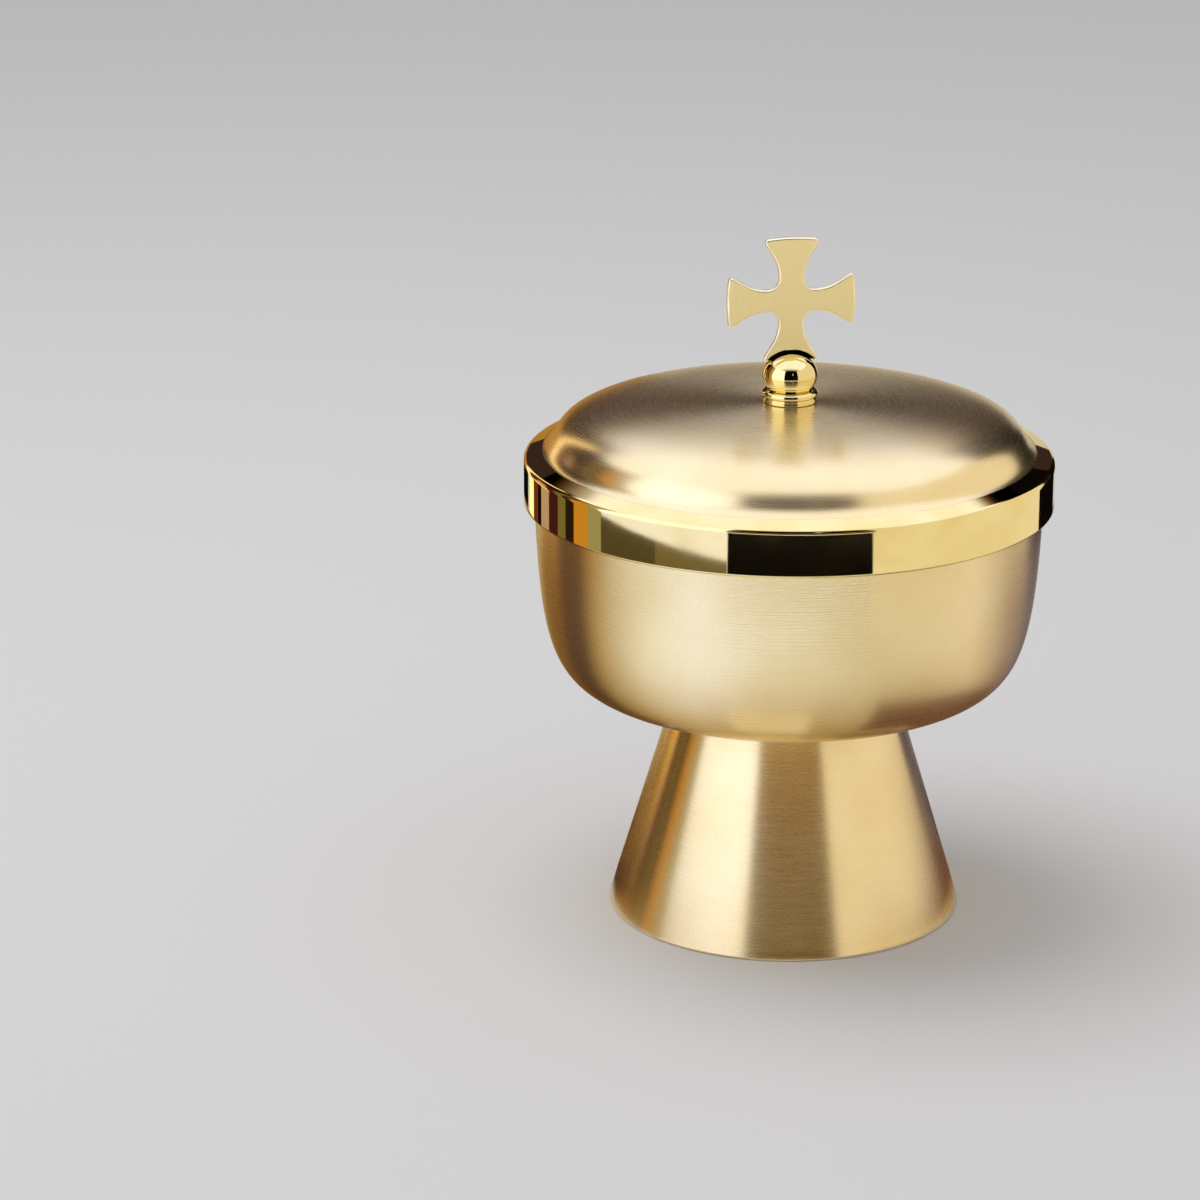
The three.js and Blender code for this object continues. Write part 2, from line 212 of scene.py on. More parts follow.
@dataclass(frozen=True)
class BrushedPlate:
    """Spun brass, brushed round the axis on the lathe and gold plated.

    The brush leaves fine lines that run round the axis. They blur a reflection up and
    down much more than sideways, so lights and dark cards show as upright bands.
    """

    name: str = "brushed_gold_plate"
    colour: str = "#F7E6B9"
    deep_colour: str = "#EFDAA6"
    roughness: float = 0.27
    roughness_swing: float = 0.03
    stretch: float = 0.65
    blur_turn: float = 0.25  # in full turns, from along the lines to across them
    line_spacing: float = 0.3 * MILLIMETRE  # drawn coarser than the real 0.1 mm, to show
    line_sweep: float = 3.0  # how soon a line fades along its way round
    line_depth: float = 0.0008 * MILLIMETRE
    cloud_size: float = 24 * MILLIMETRE  # thicker and thinner plate
    # lighter than the plate: the rubbed edges' own tone, and a painted highlight along them
    rubbed_sheen_colour: str = "#FFF2CC"
    rubbed_roughness: float = 0.14

    def material(self) -> Material:
        """Builds the material.

        Returns:
            The material.
        """
        material, tree = new_material(self.name)
        place = add(tree, "ShaderNodeTexCoord").outputs["Object"]
        flat = add(
            tree, "ShaderNodeVectorMath", {"operation": "MULTIPLY", 1: (1, 1, 0)}, {0: place}
        ).outputs[0]
        reach = add(tree, "ShaderNodeVectorMath", {"operation": "LENGTH"}, {0: flat}).outputs["Value"]
        outward = add(tree, "ShaderNodeVectorMath", {"operation": "NORMALIZE"}, {0: flat}).outputs[0]
        around = add(
            tree, "ShaderNodeVectorMath", {"operation": "CROSS_PRODUCT", 0: (0, 0, 1)}, {1: outward}
        ).outputs[0]
        lines = self._lines(tree, place, reach, outward)
        clouds = add(
            tree,
            "ShaderNodeTexNoise",
            {"Scale": 1 / self.cloud_size, "Detail": 3.0, "Roughness": 0.5},
            {"Vector": place},
        ).outputs["Fac"]
        cloudy = add(
            tree, "ShaderNodeMapRange", {"From Min": 0.3, "From Max": 0.7}, {"Value": clouds}
        ).outputs[0]
        plate = blend(tree, cloudy, self.deep_colour, self.colour)
        rubbed = wear_and_sheen(tree, place)
        # the rubbed edges are lighter: wear, and a painted highlight
        colour = blend(tree, rubbed, plate, self.rubbed_sheen_colour)
        brushed = add(
            tree,
            "ShaderNodeMapRange",
            {
                "From Min": 0.25,
                "From Max": 0.75,
                "To Min": self.roughness - self.roughness_swing,
                "To Max": self.roughness + self.roughness_swing,
            },
            {"Value": lines},
        ).outputs[0]
        roughness = add(
            tree,
            "ShaderNodeMapRange",
            {"To Max": self.rubbed_roughness},
            {"Value": rubbed, "To Min": brushed},
        ).outputs[0]
        bump = add(
            tree,
            "ShaderNodeBump",
            {"Strength": 1.0, "Distance": self.line_depth},
            {"Height": lines},
        ).outputs[0]
        shader = add(
            tree,
            "ShaderNodeBsdfPrincipled",
            {
                "Metallic": 1.0,
                "Anisotropic": self.stretch,
                "Anisotropic Rotation": self.blur_turn,
            },
            {"Base Color": colour, "Roughness": roughness, "Normal": bump, "Tangent": around},
        )
        add(tree, "ShaderNodeOutputMaterial", None, {"Surface": shader.outputs[0]})
        return material

    def _lines(
        self, tree: NodeTree, place: NodeSocket, reach: NodeSocket, outward: NodeSocket
    ) -> NodeSocket:
        """Draws the brushed lines, as noise that is fine across and long round the axis.

        Args:
            tree: the material's node tree.
            place: the point on the piece.
            reach: its distance from the axis.
            outward: the level direction from the axis to it.

        Returns:
            The lines' height, from 0 to 1.
        """
        across = add(
            tree, "ShaderNodeMath", {"operation": "MULTIPLY", 1: 1 / self.line_spacing}, {0: reach}
        ).outputs[0]
        swept = add(
            tree, "ShaderNodeVectorMath", {"operation": "SCALE", "Scale": self.line_sweep}, {0: outward}
        ).outputs[0]
        raised = add(tree, "ShaderNodeCombineXYZ", None, {"Z": across}).outputs[0]
        vector = add(
            tree, "ShaderNodeVectorMath", {"operation": "ADD"}, {0: swept, 1: raised}
        ).outputs[0]
        height = add(tree, "ShaderNodeSeparateXYZ", None, {0: place}).outputs["Z"]
        up = add(
            tree, "ShaderNodeMath", {"operation": "MULTIPLY", 1: 1 / self.line_spacing}, {0: height}
        ).outputs[0]
        return add(
            tree,
            "ShaderNodeTexNoise",
            {"noise_dimensions": "4D", "Scale": 1.0, "Detail": 3.0, "Roughness": 0.7},
            {"Vector": vector, "W": up},
        ).outputs["Fac"]


@dataclass(frozen=True)
class UprightBrushedPlate:
    """Flat brass, brushed up and down by hand and gold plated.

    Its lines run upright, so they blur a reflection sideways.
    """

    name: str = "upright_brushed_gold_plate"
    # this colour and the deep one are pale partly as the plate's own tone, partly as painted light over
    # the whole face
    colour: str = "#FFF4C0"
    deep_colour: str = "#FAE9AE"
    roughness: float = 0.62
    stretch: float = 0.5
    line_width: float = 0.25 * MILLIMETRE
    line_length: float = 6 * MILLIMETRE
    line_way: tuple[float, float, float] = (0, 0.1, 1)  # leaned, so the top end isn't along it
    line_depth: float = 0.003 * MILLIMETRE
    # lighter than the plate: the rubbed edges' own tone, and a painted highlight along them
    rubbed_sheen_colour: str = "#FFF6D6"
    rubbed_roughness: float = 0.3

    def material(self) -> Material:
        """Builds the material.

        Returns:
            The material.
        """
        material, tree = new_material(self.name)
        place = add(tree, "ShaderNodeTexCoord").outputs["Object"]
        across = 1 / self.line_width
        along = 1 / self.line_length
        drawn = add(
            tree, "ShaderNodeMapping", {"Scale": (across, across, along)}, {"Vector": place}
        ).outputs[0]
        lines = add(
            tree, "ShaderNodeTexNoise", {"Scale": 1.0, "Detail": 2.0}, {"Vector": drawn}
        ).outputs["Fac"]
        rubbed = wear_and_sheen(tree, place)
        plate = blend(tree, lines, self.deep_colour, self.colour)
        # the rubbed edges are lighter: wear, and a painted highlight
        colour = blend(tree, rubbed, plate, self.rubbed_sheen_colour)
        roughness = add(
            tree,
            "ShaderNodeMapRange",
            {"To Min": self.roughness, "To Max": self.rubbed_roughness},
            {"Value": rubbed},
        ).outputs[0]
        bump = add(
            tree,
            "ShaderNodeBump",
            {"Strength": 1.0, "Distance": self.line_depth},
            {"Height": lines},
        ).outputs[0]
        facing = add(tree, "ShaderNodeNewGeometry").outputs["Normal"]
        sideways = add(
            tree,
            "ShaderNodeVectorMath",
            {"operation": "CROSS_PRODUCT", 0: self.line_way},
            {1: facing},
        ).outputs[0]
        shader = add(
            tree,
            "ShaderNodeBsdfPrincipled",
            {"Metallic": 1.0, "Anisotropic": self.stretch},
            {"Base Color": colour, "Roughness": roughness, "Normal": bump, "Tangent": sideways},
        )
        add(tree, "ShaderNodeOutputMaterial", None, {"Surface": shader.outputs[0]})
        return material


@dataclass(frozen=True)
class PolishedPlate:
    """Turned brass, buffed to a mirror and gold plated.

    It shows sharp reflections, with the slight waviness that buffing leaves.
    """

    name: str = "polished_gold_plate"
    colour: str = "#F1E2A6"
    roughness: float = 0.035
    deep_colour: str = "#EBD896"
    smeared_roughness: float = 0.048  # where it was wiped
    smear_size: float = 14 * MILLIMETRE
    rubbed_roughness: float = 0.12  # fine scratches along edges
    wave_size: float = 9 * MILLIMETRE
    wave_depth: float = 0.004 * MILLIMETRE

    def material(self) -> Material:
        """Builds the material.

        Returns:
            The material.
        """
        material, tree = new_material(self.name)
        place = add(tree, "ShaderNodeTexCoord").outputs["Object"]
        smears = add(
            tree,
            "ShaderNodeTexNoise",
            {"Scale": 1 / self.smear_size, "Detail": 4.0, "Distortion": 0.6},
            {"Vector": place},
        ).outputs["Fac"]
        smeared = add(
            tree, "ShaderNodeMapRange", {"From Min": 0.4, "From Max": 0.7}, {"Value": smears}
        ).outputs[0]
        colour = blend(tree, smeared, self.colour, self.deep_colour)
        wiped = add(
            tree,
            "ShaderNodeMapRange",
            {"To Min": self.roughness, "To Max": self.smeared_roughness},
            {"Value": smeared},
        ).outputs[0]
        roughness = add(
            tree,
            "ShaderNodeMapRange",
            {"To Max": self.rubbed_roughness},
            {"Value": wear_and_sheen(tree, place), "To Min": wiped},
        ).outputs[0]
        waves = add(
            tree,
            "ShaderNodeTexNoise",
            {"Scale": 1 / self.wave_size, "Detail": 1.0},
            {"Vector": place},
        ).outputs["Fac"]
        bump = add(
            tree,
            "ShaderNodeBump",
            {"Strength": 1.0, "Distance": self.wave_depth},
            {"Height": waves},
        ).outputs[0]
        shader = add(
            tree,
            "ShaderNodeBsdfPrincipled",
            {"Metallic": 1.0},
            {"Base Color": colour, "Roughness": roughness, "Normal": bump},
        )
        add(tree, "ShaderNodeOutputMaterial", None, {"Surface": shader.outputs[0]})
        return material


@dataclass(frozen=True)
class GrainedMetal:
    """Metal with a fine grain that runs no way, such as a blasted or a plain turned one.

    The grain blurs reflections alike in every direction, so the surface looks even.
    """

    name: str
    colour: str
    deep_colour: str
    roughness: float
    grain_size: float
    grain_depth: float
    stain_colour: str
    stain_size: float = 7 * MILLIMETRE
    rubbed_roughness: float = 0.2

    def material(self) -> Material:
        """Builds the material.

        Returns:
            The material.
        """
        material, tree = new_material(self.name)
        place = add(tree, "ShaderNodeTexCoord").outputs["Object"]
        grain = add(
            tree,
            "ShaderNodeTexNoise",
            {"Scale": 1 / self.grain_size, "Detail": 3.0, "Roughness": 0.6},
            {"Vector": place},
        ).outputs["Fac"]
        stains = add(
            tree, "ShaderNodeTexNoise", {"Scale": 1 / self.stain_size}, {"Vector": place}
        ).outputs["Fac"]
        stained = add(
            tree, "ShaderNodeMapRange", {"From Min": 0.5, "From Max": 0.8}, {"Value": stains}
        ).outputs[0]
        metal = blend(tree, grain, self.deep_colour, self.colour)
        colour = blend(tree, stained, metal, self.stain_colour)
        roughness = add(
            tree,
            "ShaderNodeMapRange",
            {"To Min": self.roughness, "To Max": self.rubbed_roughness},
            {"Value": wear_and_sheen(tree, place)},
        ).outputs[0]
        bump = add(
            tree,
            "ShaderNodeBump",
            {"Strength": 1.0, "Distance": self.grain_depth},
            {"Height": grain},
        ).outputs[0]
        shader = add(
            tree,
            "ShaderNodeBsdfPrincipled",
            {"Metallic": 1.0},
            {"Base Color": colour, "Roughness": roughness, "Normal": bump},
        )
        add(tree, "ShaderNodeOutputMaterial", None, {"Surface": shader.outputs[0]})
        return material


@dataclass
class Finishes:
    """Every finish of the object, each made once."""

    satin: Material = field(default_factory=lambda: BrushedPlate().material())
    polished: Material = field(default_factory=lambda: PolishedPlate().material())
    pale_satin: Material = field(default_factory=lambda: UprightBrushedPlate().material())
    bare_brass: Material = field(
        default_factory=lambda: GrainedMetal(
            name="turned_brass",
            colour="#C7A358",
            deep_colour="#A98443",
            roughness=0.34,
            grain_size=0.6 * MILLIMETRE,
            grain_depth=0.006 * MILLIMETRE,
            stain_colour="#8A6A38",
        ).material()
    )
    steel: Material = field(
        default_factory=lambda: GrainedMetal(
            name="spring_steel",
            colour="#A4A6A8",
            deep_colour="#7F8184",
            roughness=0.38,
            grain_size=0.5 * MILLIMETRE,
            grain_depth=0.006 * MILLIMETRE,
            stain_colour="#5E5C58",
        ).material()
    )


# Shapes


def curve(points: Iterable[Vector | tuple[float, float]], count: int) -> list[Vector]:
    """Points along a flat cubic curve.

    Args:
        points: the curve's start, its two handles and its end.
        count: how many points to give, both ends included.

    Returns:
        The points in order.
    """
    start, first, second, end = (Vector((x, y, 0)) for x, y in points)
    return [point.xy for point in interpolate_bezier(start, first, second, end, count)]


def bent(start: Vector, pull: Vector, end: Vector, count: int) -> list[Vector]:
    """Points along a flat curve that bends once.

    Args:
        start: the curve's start.
        pull: where the straights that the curve leaves its ends along meet.
        end: its end.
        count: how many points to give, both ends included.

    Returns:
        The points in order.
    """
    return curve([start, start.lerp(pull, 2 / 3), end.lerp(pull, 2 / 3), end], count)


def arc(centre: Vector, start: Vector, turn: float, steps: int) -> list[Vector]:
    """Points along a flat arc.

    Args:
        centre: the arc's centre.
        start: the way from there to its start.
        turn: how far it turns to the left.
        steps: how many steps to draw it in.

    Returns:
        The points in order, both ends included.
    """
    return [centre + Matrix.Rotation(turn * step / steps, 2) @ start for step in range(steps + 1)]


def beside(points: list[Vector], distance: float) -> list[Vector]:
    """Moves a line of points to its left.

    Args:
        points: the line's points, in order.
        distance: how far to move them.

    Returns:
        The moved points.
    """
    before = points[:1] + points[:-1]
    after = points[1:] + points[-1:]
    tangents = [(last - first).normalized() for first, last in zip(before, after)]
    return [
        point + Vector((-tangent.y, tangent.x)) * distance
        for point, tangent in zip(points, tangents)
    ]


@dataclass
class Outline:
    """The outline of a turned piece in (radius, height), drawn point by point.

    It closes on itself, or runs from the axis to the axis.
    """

    hold: float = 0.05 * MILLIMETRE  # how near its corners a straight gets an extra point
    long_run: float = 0.4 * MILLIMETRE  # a shorter straight gets none
    bend: float = math.radians(4)  # nor does a corner that turns less
    arc_steps: int = 6
    corners: list[tuple[Vector, float]] = field(default_factory=list)

    def corner(self, radius: float, height: float, rounding: float = 0.0) -> "Outline":
        """Adds a corner.

        Args:
            radius: the corner's distance from the axis.
            height: its height.
            rounding: the radius that it is rounded to.

        Returns:
            The outline itself.
        """
        self.corners.append((Vector((radius, height)), rounding))
        return self

    def line(self, points: Iterable[Vector]) -> "Outline":
        """Adds the points of a curve as they are, and gives back the outline."""
        self.corners.extend((point, 0.0) for point in points)
        return self

    def _rounded(self, index: int) -> list[Vector]:
        """The points of one corner: itself, or the arc that rounds it.

        Args:
            index: the corner's place in the list.

        Returns:
            The points in order.
        """
        corner, rounding = self.corners[index]
        if rounding == 0:
            return [corner]
        before = self.corners[index - 1][0]
        after = self.corners[(index + 1) % len(self.corners)][0]
        back = (before - corner).normalized()
        on = (after - corner).normalized()
        half = back.angle(on) / 2
        centre = corner + (back + on).normalized() * rounding / math.sin(half)
        start = corner + back * rounding / math.tan(half) - centre
        turn = math.copysign(math.pi - 2 * half, on.cross(back))
        return arc(centre, start, turn, self.arc_steps)

    def points(self) -> list[Vector]:
        """Every point, with extra ones close to the corners.

        Returns:
            The points in order, in which flats stay flat when the piece is shaded smooth.
        """
        drawn = [point for index in range(len(self.corners)) for point in self._rounded(index)]
        ahead = [end - start for start, end in zip(drawn, drawn[1:] + drawn[:1])]
        bends = [abs(before.angle(after)) for before, after in zip(ahead[-1:] + ahead, ahead)]
        held = []
        for index, (start, run) in enumerate(zip(drawn, ahead)):
            held.append(start)
            next_bend = bends[(index + 1) % len(bends)]
            if run.length > self.long_run and max(start.x, (start + run).x) > 0:
                step = run.normalized() * self.hold
                held.extend([start + step] if bends[index] > self.bend else [])
                held.extend([start + run - step] if next_bend > self.bend else [])
        return held

    def spun(self, fineness: Fineness) -> BMesh:
        """Spins the outline about the Z axis.

        Args:
            fineness: how many steps to spin it in.

        Returns:
            A closed mesh whose faces point outwards.
        """
        mesh = bmesh.new()
        verts = [mesh.verts.new((point.x, 0, point.y)) for point in self.points()]
        edges = [
            mesh.edges.new((start, end))
            for start, end in zip(verts, verts[1:] + verts[:1])
            if max(start.co.x, end.co.x) > 0
        ]
        bmesh.ops.spin(
            mesh,
            geom=verts + edges,
            cent=(0, 0, 0),
            axis=(0, 0, 1),
            angle=FULL_TURN / SECTORS,
            steps=fineness.value // SECTORS,
        )
        bmesh.ops.spin(
            mesh,
            geom=mesh.verts[:] + mesh.edges[:] + mesh.faces[:],
            cent=(0, 0, 0),
            axis=(0, 0, 1),
            angle=FULL_TURN - FULL_TURN / SECTORS,
            steps=SECTORS - 1,
            use_duplicate=True,
        )
        bmesh.ops.remove_doubles(mesh, verts=mesh.verts, dist=MERGE_DISTANCE)
        bmesh.ops.recalc_face_normals(mesh, faces=mesh.faces)
        return mesh


def lofted(rings: list[list[Vector]], capped: bool) -> BMesh:
    """Joins rings of points, each with as many points as the next.

    Args:
        rings: the rings, in order.
        capped: whether the first and the last ring are filled in. If not, they are joined.

    Returns:
        A closed mesh whose faces point outwards.
    """
    mesh = bmesh.new()
    loops = [[mesh.verts.new(point) for point in ring] for ring in rings]
    for low, high in zip(loops, loops[1:] + loops[:0 if capped else 1]):
        for here in range(len(low)):
            mesh.faces.new((low[here - 1], low[here], high[here], high[here - 1]))
    if capped:
        mesh.faces.new(loops[0])
        mesh.faces.new(loops[-1])
    bmesh.ops.remove_doubles(mesh, verts=mesh.verts, dist=MERGE_DISTANCE)
    bmesh.ops.recalc_face_normals(mesh, faces=mesh.faces)
    return mesh


def cut_slot(made: Object, size: Vector, middle: Vector) -> None:
    """Cuts a box out of a piece.

    Args:
        made: the piece.
        size: the box's size.
        middle: its middle.
    """
    box = bmesh.new()
    bmesh.ops.create_cube(box, size=1)
    bmesh.ops.scale(box, verts=box.verts, vec=size)
    bmesh.ops.translate(box, verts=box.verts, vec=middle)
    data = bpy.data.meshes.new("slot")
    box.to_mesh(data)
    box.free()
    cutter = bpy.data.objects.new("slot", data)
    bpy.context.scene.collection.objects.link(cutter)
    modifier = made.modifiers.new("slot", "BOOLEAN")
    modifier.object = cutter
    whole = made.data
    view = bpy.context.evaluated_depsgraph_get()
    made.data = bpy.data.meshes.new_from_object(made.evaluated_get(view))
    made.modifiers.clear()
    made.data.set_sharp_from_angle(angle=SHARP_ANGLE)
    bpy.data.objects.remove(cutter)
    bpy.data.meshes.remove(data)
    bpy.data.meshes.remove(whole)
    log.info("%s: slotted, %d faces", made.name, len(made.data.polygons))


def mark_wear_and_sheen(mesh: BMesh) -> None:
    """Marks the rounded edges that stand out, which hands and cloths rub, and where a painted highlight
    goes.

    Large flats are shaded flat and stay as they were plated.

    Args:
        mesh: the piece's shape, with its faces pointing outwards.
    """
    wear = mesh.verts.layers.float.new(WEAR)
    for edge in mesh.edges:
        if edge.calc_face_angle_signed(0) > WORN_ANGLE:
            for vert in edge.verts:
                vert[wear] = 1.0
    for face in mesh.faces:
        face.smooth = len(face.verts) <= FLAT_CORNERS
        if not face.smooth:
            for vert in face.verts:
                vert[wear] = 0.0


def piece(mesh: BMesh, node: str, body: Body, finish: Material) -> Object:
    """Makes a finished piece that stands for a node of the frame.

    Args:
        mesh: the piece's shape, which is freed.
        node: the node that it stands for.
        body: the body that it moves with.
        finish: the material.

    Returns:
        The piece.
    """
    mark_wear_and_sheen(mesh)
    data = bpy.data.meshes.new(node + "_fine")
    mesh.to_mesh(data)
    mesh.free()
    data.set_sharp_from_angle(angle=SHARP_ANGLE)
    data.materials.append(finish)
    made = bpy.data.objects.new(node + "_fine", data)
    bpy.context.scene.collection.objects.link(made)
    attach(made, body.value)
    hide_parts(node)
    log.info("%s: %d faces, rides on %s", made.name, len(data.polygons), body.value)
    return made


# Base


@dataclass
class Foot:
    """The spun cone foot: a thin shell with a closed top and a rim that is turned in."""

    base_radius: float = 47.4 * MILLIMETRE
    top_radius: float = 29.3 * MILLIMETRE
    wall: float = 1.2 * MILLIMETRE
    rim_width: float = 3.6 * MILLIMETRE
    rim_round: float = 0.5 * MILLIMETRE
    shoulder_round: float = 0.9 * MILLIMETRE
    hole_radius: float = 8.3 * MILLIMETRE

    def build(self, finishes: Finishes) -> None:
        """Makes the foot.

        Args:
            finishes: the object's finishes.
        """
        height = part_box("foot_shell")[1].z
        taper = (self.base_radius - self.top_radius) / height
        inset = self.wall * math.hypot(1, taper)
        under_top = height - self.wall
        rim_inside = self.base_radius - self.rim_width
        outline = Outline()
        outline.corner(self.base_radius, 0, self.rim_round)
        outline.corner(self.top_radius, height, self.shoulder_round)
        outline.corner(self.hole_radius, height)
        outline.corner(self.hole_radius, under_top)
        outline.corner(self.base_radius - taper * under_top - inset, under_top)
        outline.corner(self.base_radius - taper * self.wall - inset, self.wall)
        outline.corner(rim_inside, self.wall)
        outline.corner(rim_inside, 0)
        piece(outline.spun(Fineness.VESSEL), "foot_shell", Body.BASE, finishes.satin)


@dataclass
class Bowl:
    """The spun bowl: flat under the seat, full at the corner, almost upright at the lip."""

    wall: float = 1.2 * MILLIMETRE
    seat_radius: float = 29.3 * MILLIMETRE
    flare: float = 0.026  # radius gained for each metre of height at the lip
    wall_fullness: float = 0.97  # how far down the wall stays upright
    floor_fullness: float = 0.87  # how far out the floor stays flat
    floor_lift: float = 0.032  # slope of the floor where it leaves the seat
    curve_points: int = 48
    lip_steps: int = 8

    def build(self, finishes: Finishes) -> None:
        """Makes the bowl.

        Args:
            finishes: the object's finishes.
        """
        lowest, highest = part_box("bowl_shell")
        mouth, top = highest.x, highest.z
        depth = top - lowest.z
        run = self.floor_fullness * (mouth - self.seat_radius)
        drop = self.wall_fullness * depth
        outside = curve(
            [
                (self.seat_radius, lowest.z),
                (self.seat_radius + run, lowest.z + self.floor_lift * run),
                (mouth - self.flare * drop, top - drop),
                (mouth, top),
            ],
            self.curve_points,
        )[:-1]
        inside = beside(outside, self.wall)[::-1]
        lip_radius = self.wall / 2
        centre = Vector((mouth - lip_radius, top - lip_radius))
        lip = arc(centre, Vector((lip_radius, 0)), math.pi, self.lip_steps)[1:-1]
        outline = Outline()
        outline.corner(0, lowest.z)
        outline.line(outside).line(lip).line(inside)
        outline.corner(0, inside[-1].y)
        piece(outline.spun(Fineness.VESSEL), "bowl_shell", Body.BASE, finishes.satin)


@dataclass
class Clamp:
    """What holds the bowl on the foot: a boss, a stud, two washers and a nut."""

    stud_radius: float = 3 * MILLIMETRE
    stud_chamfer: float = 0.5 * MILLIMETRE
    pitch: float = 1 * MILLIMETRE
    thread_depth: float = 0.55 * MILLIMETRE
    rows_in_pitch: int = 8
    bore: float = 3.1 * MILLIMETRE  # of the boss and the nut
    hole: float = 3.3 * MILLIMETRE  # of the washers
    boss_round: float = 0.4 * MILLIMETRE
    dish_inside: float = 8.6 * MILLIMETRE
    dish_thickness: float = 1.5 * MILLIMETRE
    dish_round: float = 0.25 * MILLIMETRE
    split_width: float = 1.2 * MILLIMETRE
    split_chamfer: float = 0.15 * MILLIMETRE
    nut_across_flats: float = 10 * MILLIMETRE

    def build(self, finishes: Finishes) -> None:
        """Makes the pieces.

        Args:
            finishes: the object's finishes.
        """
        self._boss(finishes.bare_brass)
        self._stud(finishes.bare_brass)
        self._dished_washer(finishes.bare_brass)
        self._lock_washer(finishes.steel)
        self._nut(finishes.bare_brass)

    def _boss(self, finish: Material) -> None:
        """Makes the boss that is soldered under the bowl.

        Args:
            finish: its material.
        """
        lowest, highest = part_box("bowl_boss")
        outline = Outline()
        outline.corner(self.bore, lowest.z)
        outline.corner(highest.x, lowest.z, self.boss_round)
        outline.corner(highest.x, highest.z)
        outline.corner(self.bore, highest.z)
        piece(outline.spun(Fineness.HARDWARE), "bowl_boss", Body.BASE, finish)

    def _stud(self, finish: Material) -> None:
        """Makes the stud, with its thread.

        Args:
            finish: its material.
        """
        lowest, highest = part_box("tie_stud")
        length = highest.z - lowest.z
        rows = round(length / self.pitch * self.rows_in_pitch)
        around = Fineness.HARDWARE.value
        rings = []
        for row in range(rows + 1):
            height = length * row / rows
            end = self.stud_radius - self.stud_chamfer + min(height, length - height)
            ring = []
            for step in range(around):
                phase = (height / self.pitch - step / around) % 1
                groove = self.thread_depth * (1 - abs(2 * phase - 1))
                reach = Vector((min(self.stud_radius - groove, end), 0, lowest.z + height))
                ring.append(Matrix.Rotation(FULL_TURN * step / around, 3, "Z") @ reach)
            rings.append(ring)
        piece(lofted(rings, True), "tie_stud", Body.BASE, finish)

    def _dished_washer(self, finish: Material) -> None:
        """Makes the washer whose rim bears on the foot and whose middle clears the boss.

        Args:
            finish: its material.
        """
        lowest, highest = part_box("tie_washer")
        thick = self.dish_thickness
        outside = self.dish_inside + thick
        outline = Outline()
        outline.corner(self.hole, lowest.z)
        outline.corner(outside, lowest.z, self.dish_round)
        outline.corner(outside + thick / 2, highest.z - thick)
        outline.corner(highest.x, highest.z - thick, self.dish_round)
        outline.corner(highest.x, highest.z, self.dish_round)
        outline.corner(self.dish_inside + thick / 2, highest.z, self.dish_round)
        outline.corner(self.dish_inside, lowest.z + thick)
        outline.corner(self.hole, lowest.z + thick)
        piece(outline.spun(Fineness.HARDWARE), "tie_washer", Body.BASE, finish)

    def _lock_washer(self, finish: Material) -> None:
        """Makes the split lock washer.

        Args:
            finish: its material.
        """
        lowest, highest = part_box("tie_lock_washer")
        bottom, top = lowest.z, highest.z
        outside = highest.y  # read along Y, because the split is at the end of X
        edge = self.split_chamfer
        section = [
            (self.hole + edge, bottom),
            (outside - edge, bottom),
            (outside, bottom + edge),
            (outside, top - edge),
            (outside - edge, top),
            (self.hole + edge, top),
            (self.hole, top - edge),
            (self.hole, bottom + edge),
        ]
        half_split = self.split_width / 2 / self.hole
        steps = Fineness.HARDWARE.value
        turns = [half_split + (FULL_TURN - 2 * half_split) * n / steps for n in range(steps + 1)]
        rings = [
            [Matrix.Rotation(turn, 3, "Z") @ Vector((radius, 0, height)) for radius, height in section]
            for turn in turns
        ]
        piece(lofted(rings, True), "tie_lock_washer", Body.BASE, finish)

    def _nut(self, finish: Material) -> None:
        """Makes the hexagon nut, whose corners are turned off at both faces.

        Args:
            finish: its material.
        """
        lowest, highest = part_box("tie_nut")
        flat = self.nut_across_flats / 2
        steps = 3 * Fineness.HARDWARE.value // 2
        turns = [FULL_TURN * step / steps for step in range(steps)]
        outwards = [Vector((math.cos(turn), math.sin(turn), 0)) for turn in turns]
        sides = [flat / math.cos(math.remainder(turn - math.pi / 6, math.pi / 3)) for turn in turns]
        rings = []
        for face, inward in ((lowest.z, 1), (highest.z, -1)):
            bore = [outward * self.bore + UP * face for outward in outwards]
            rim = [outward * flat + UP * face for outward in outwards]
            corners = [
                outward * side + UP * (face + inward * (side - flat) / 2)
                for outward, side in zip(outwards, sides)
            ]
            rings.extend([bore, rim, corners][::inward])
        piece(lofted(rings, False), "tie_nut", Body.BASE, finish)


# Lid


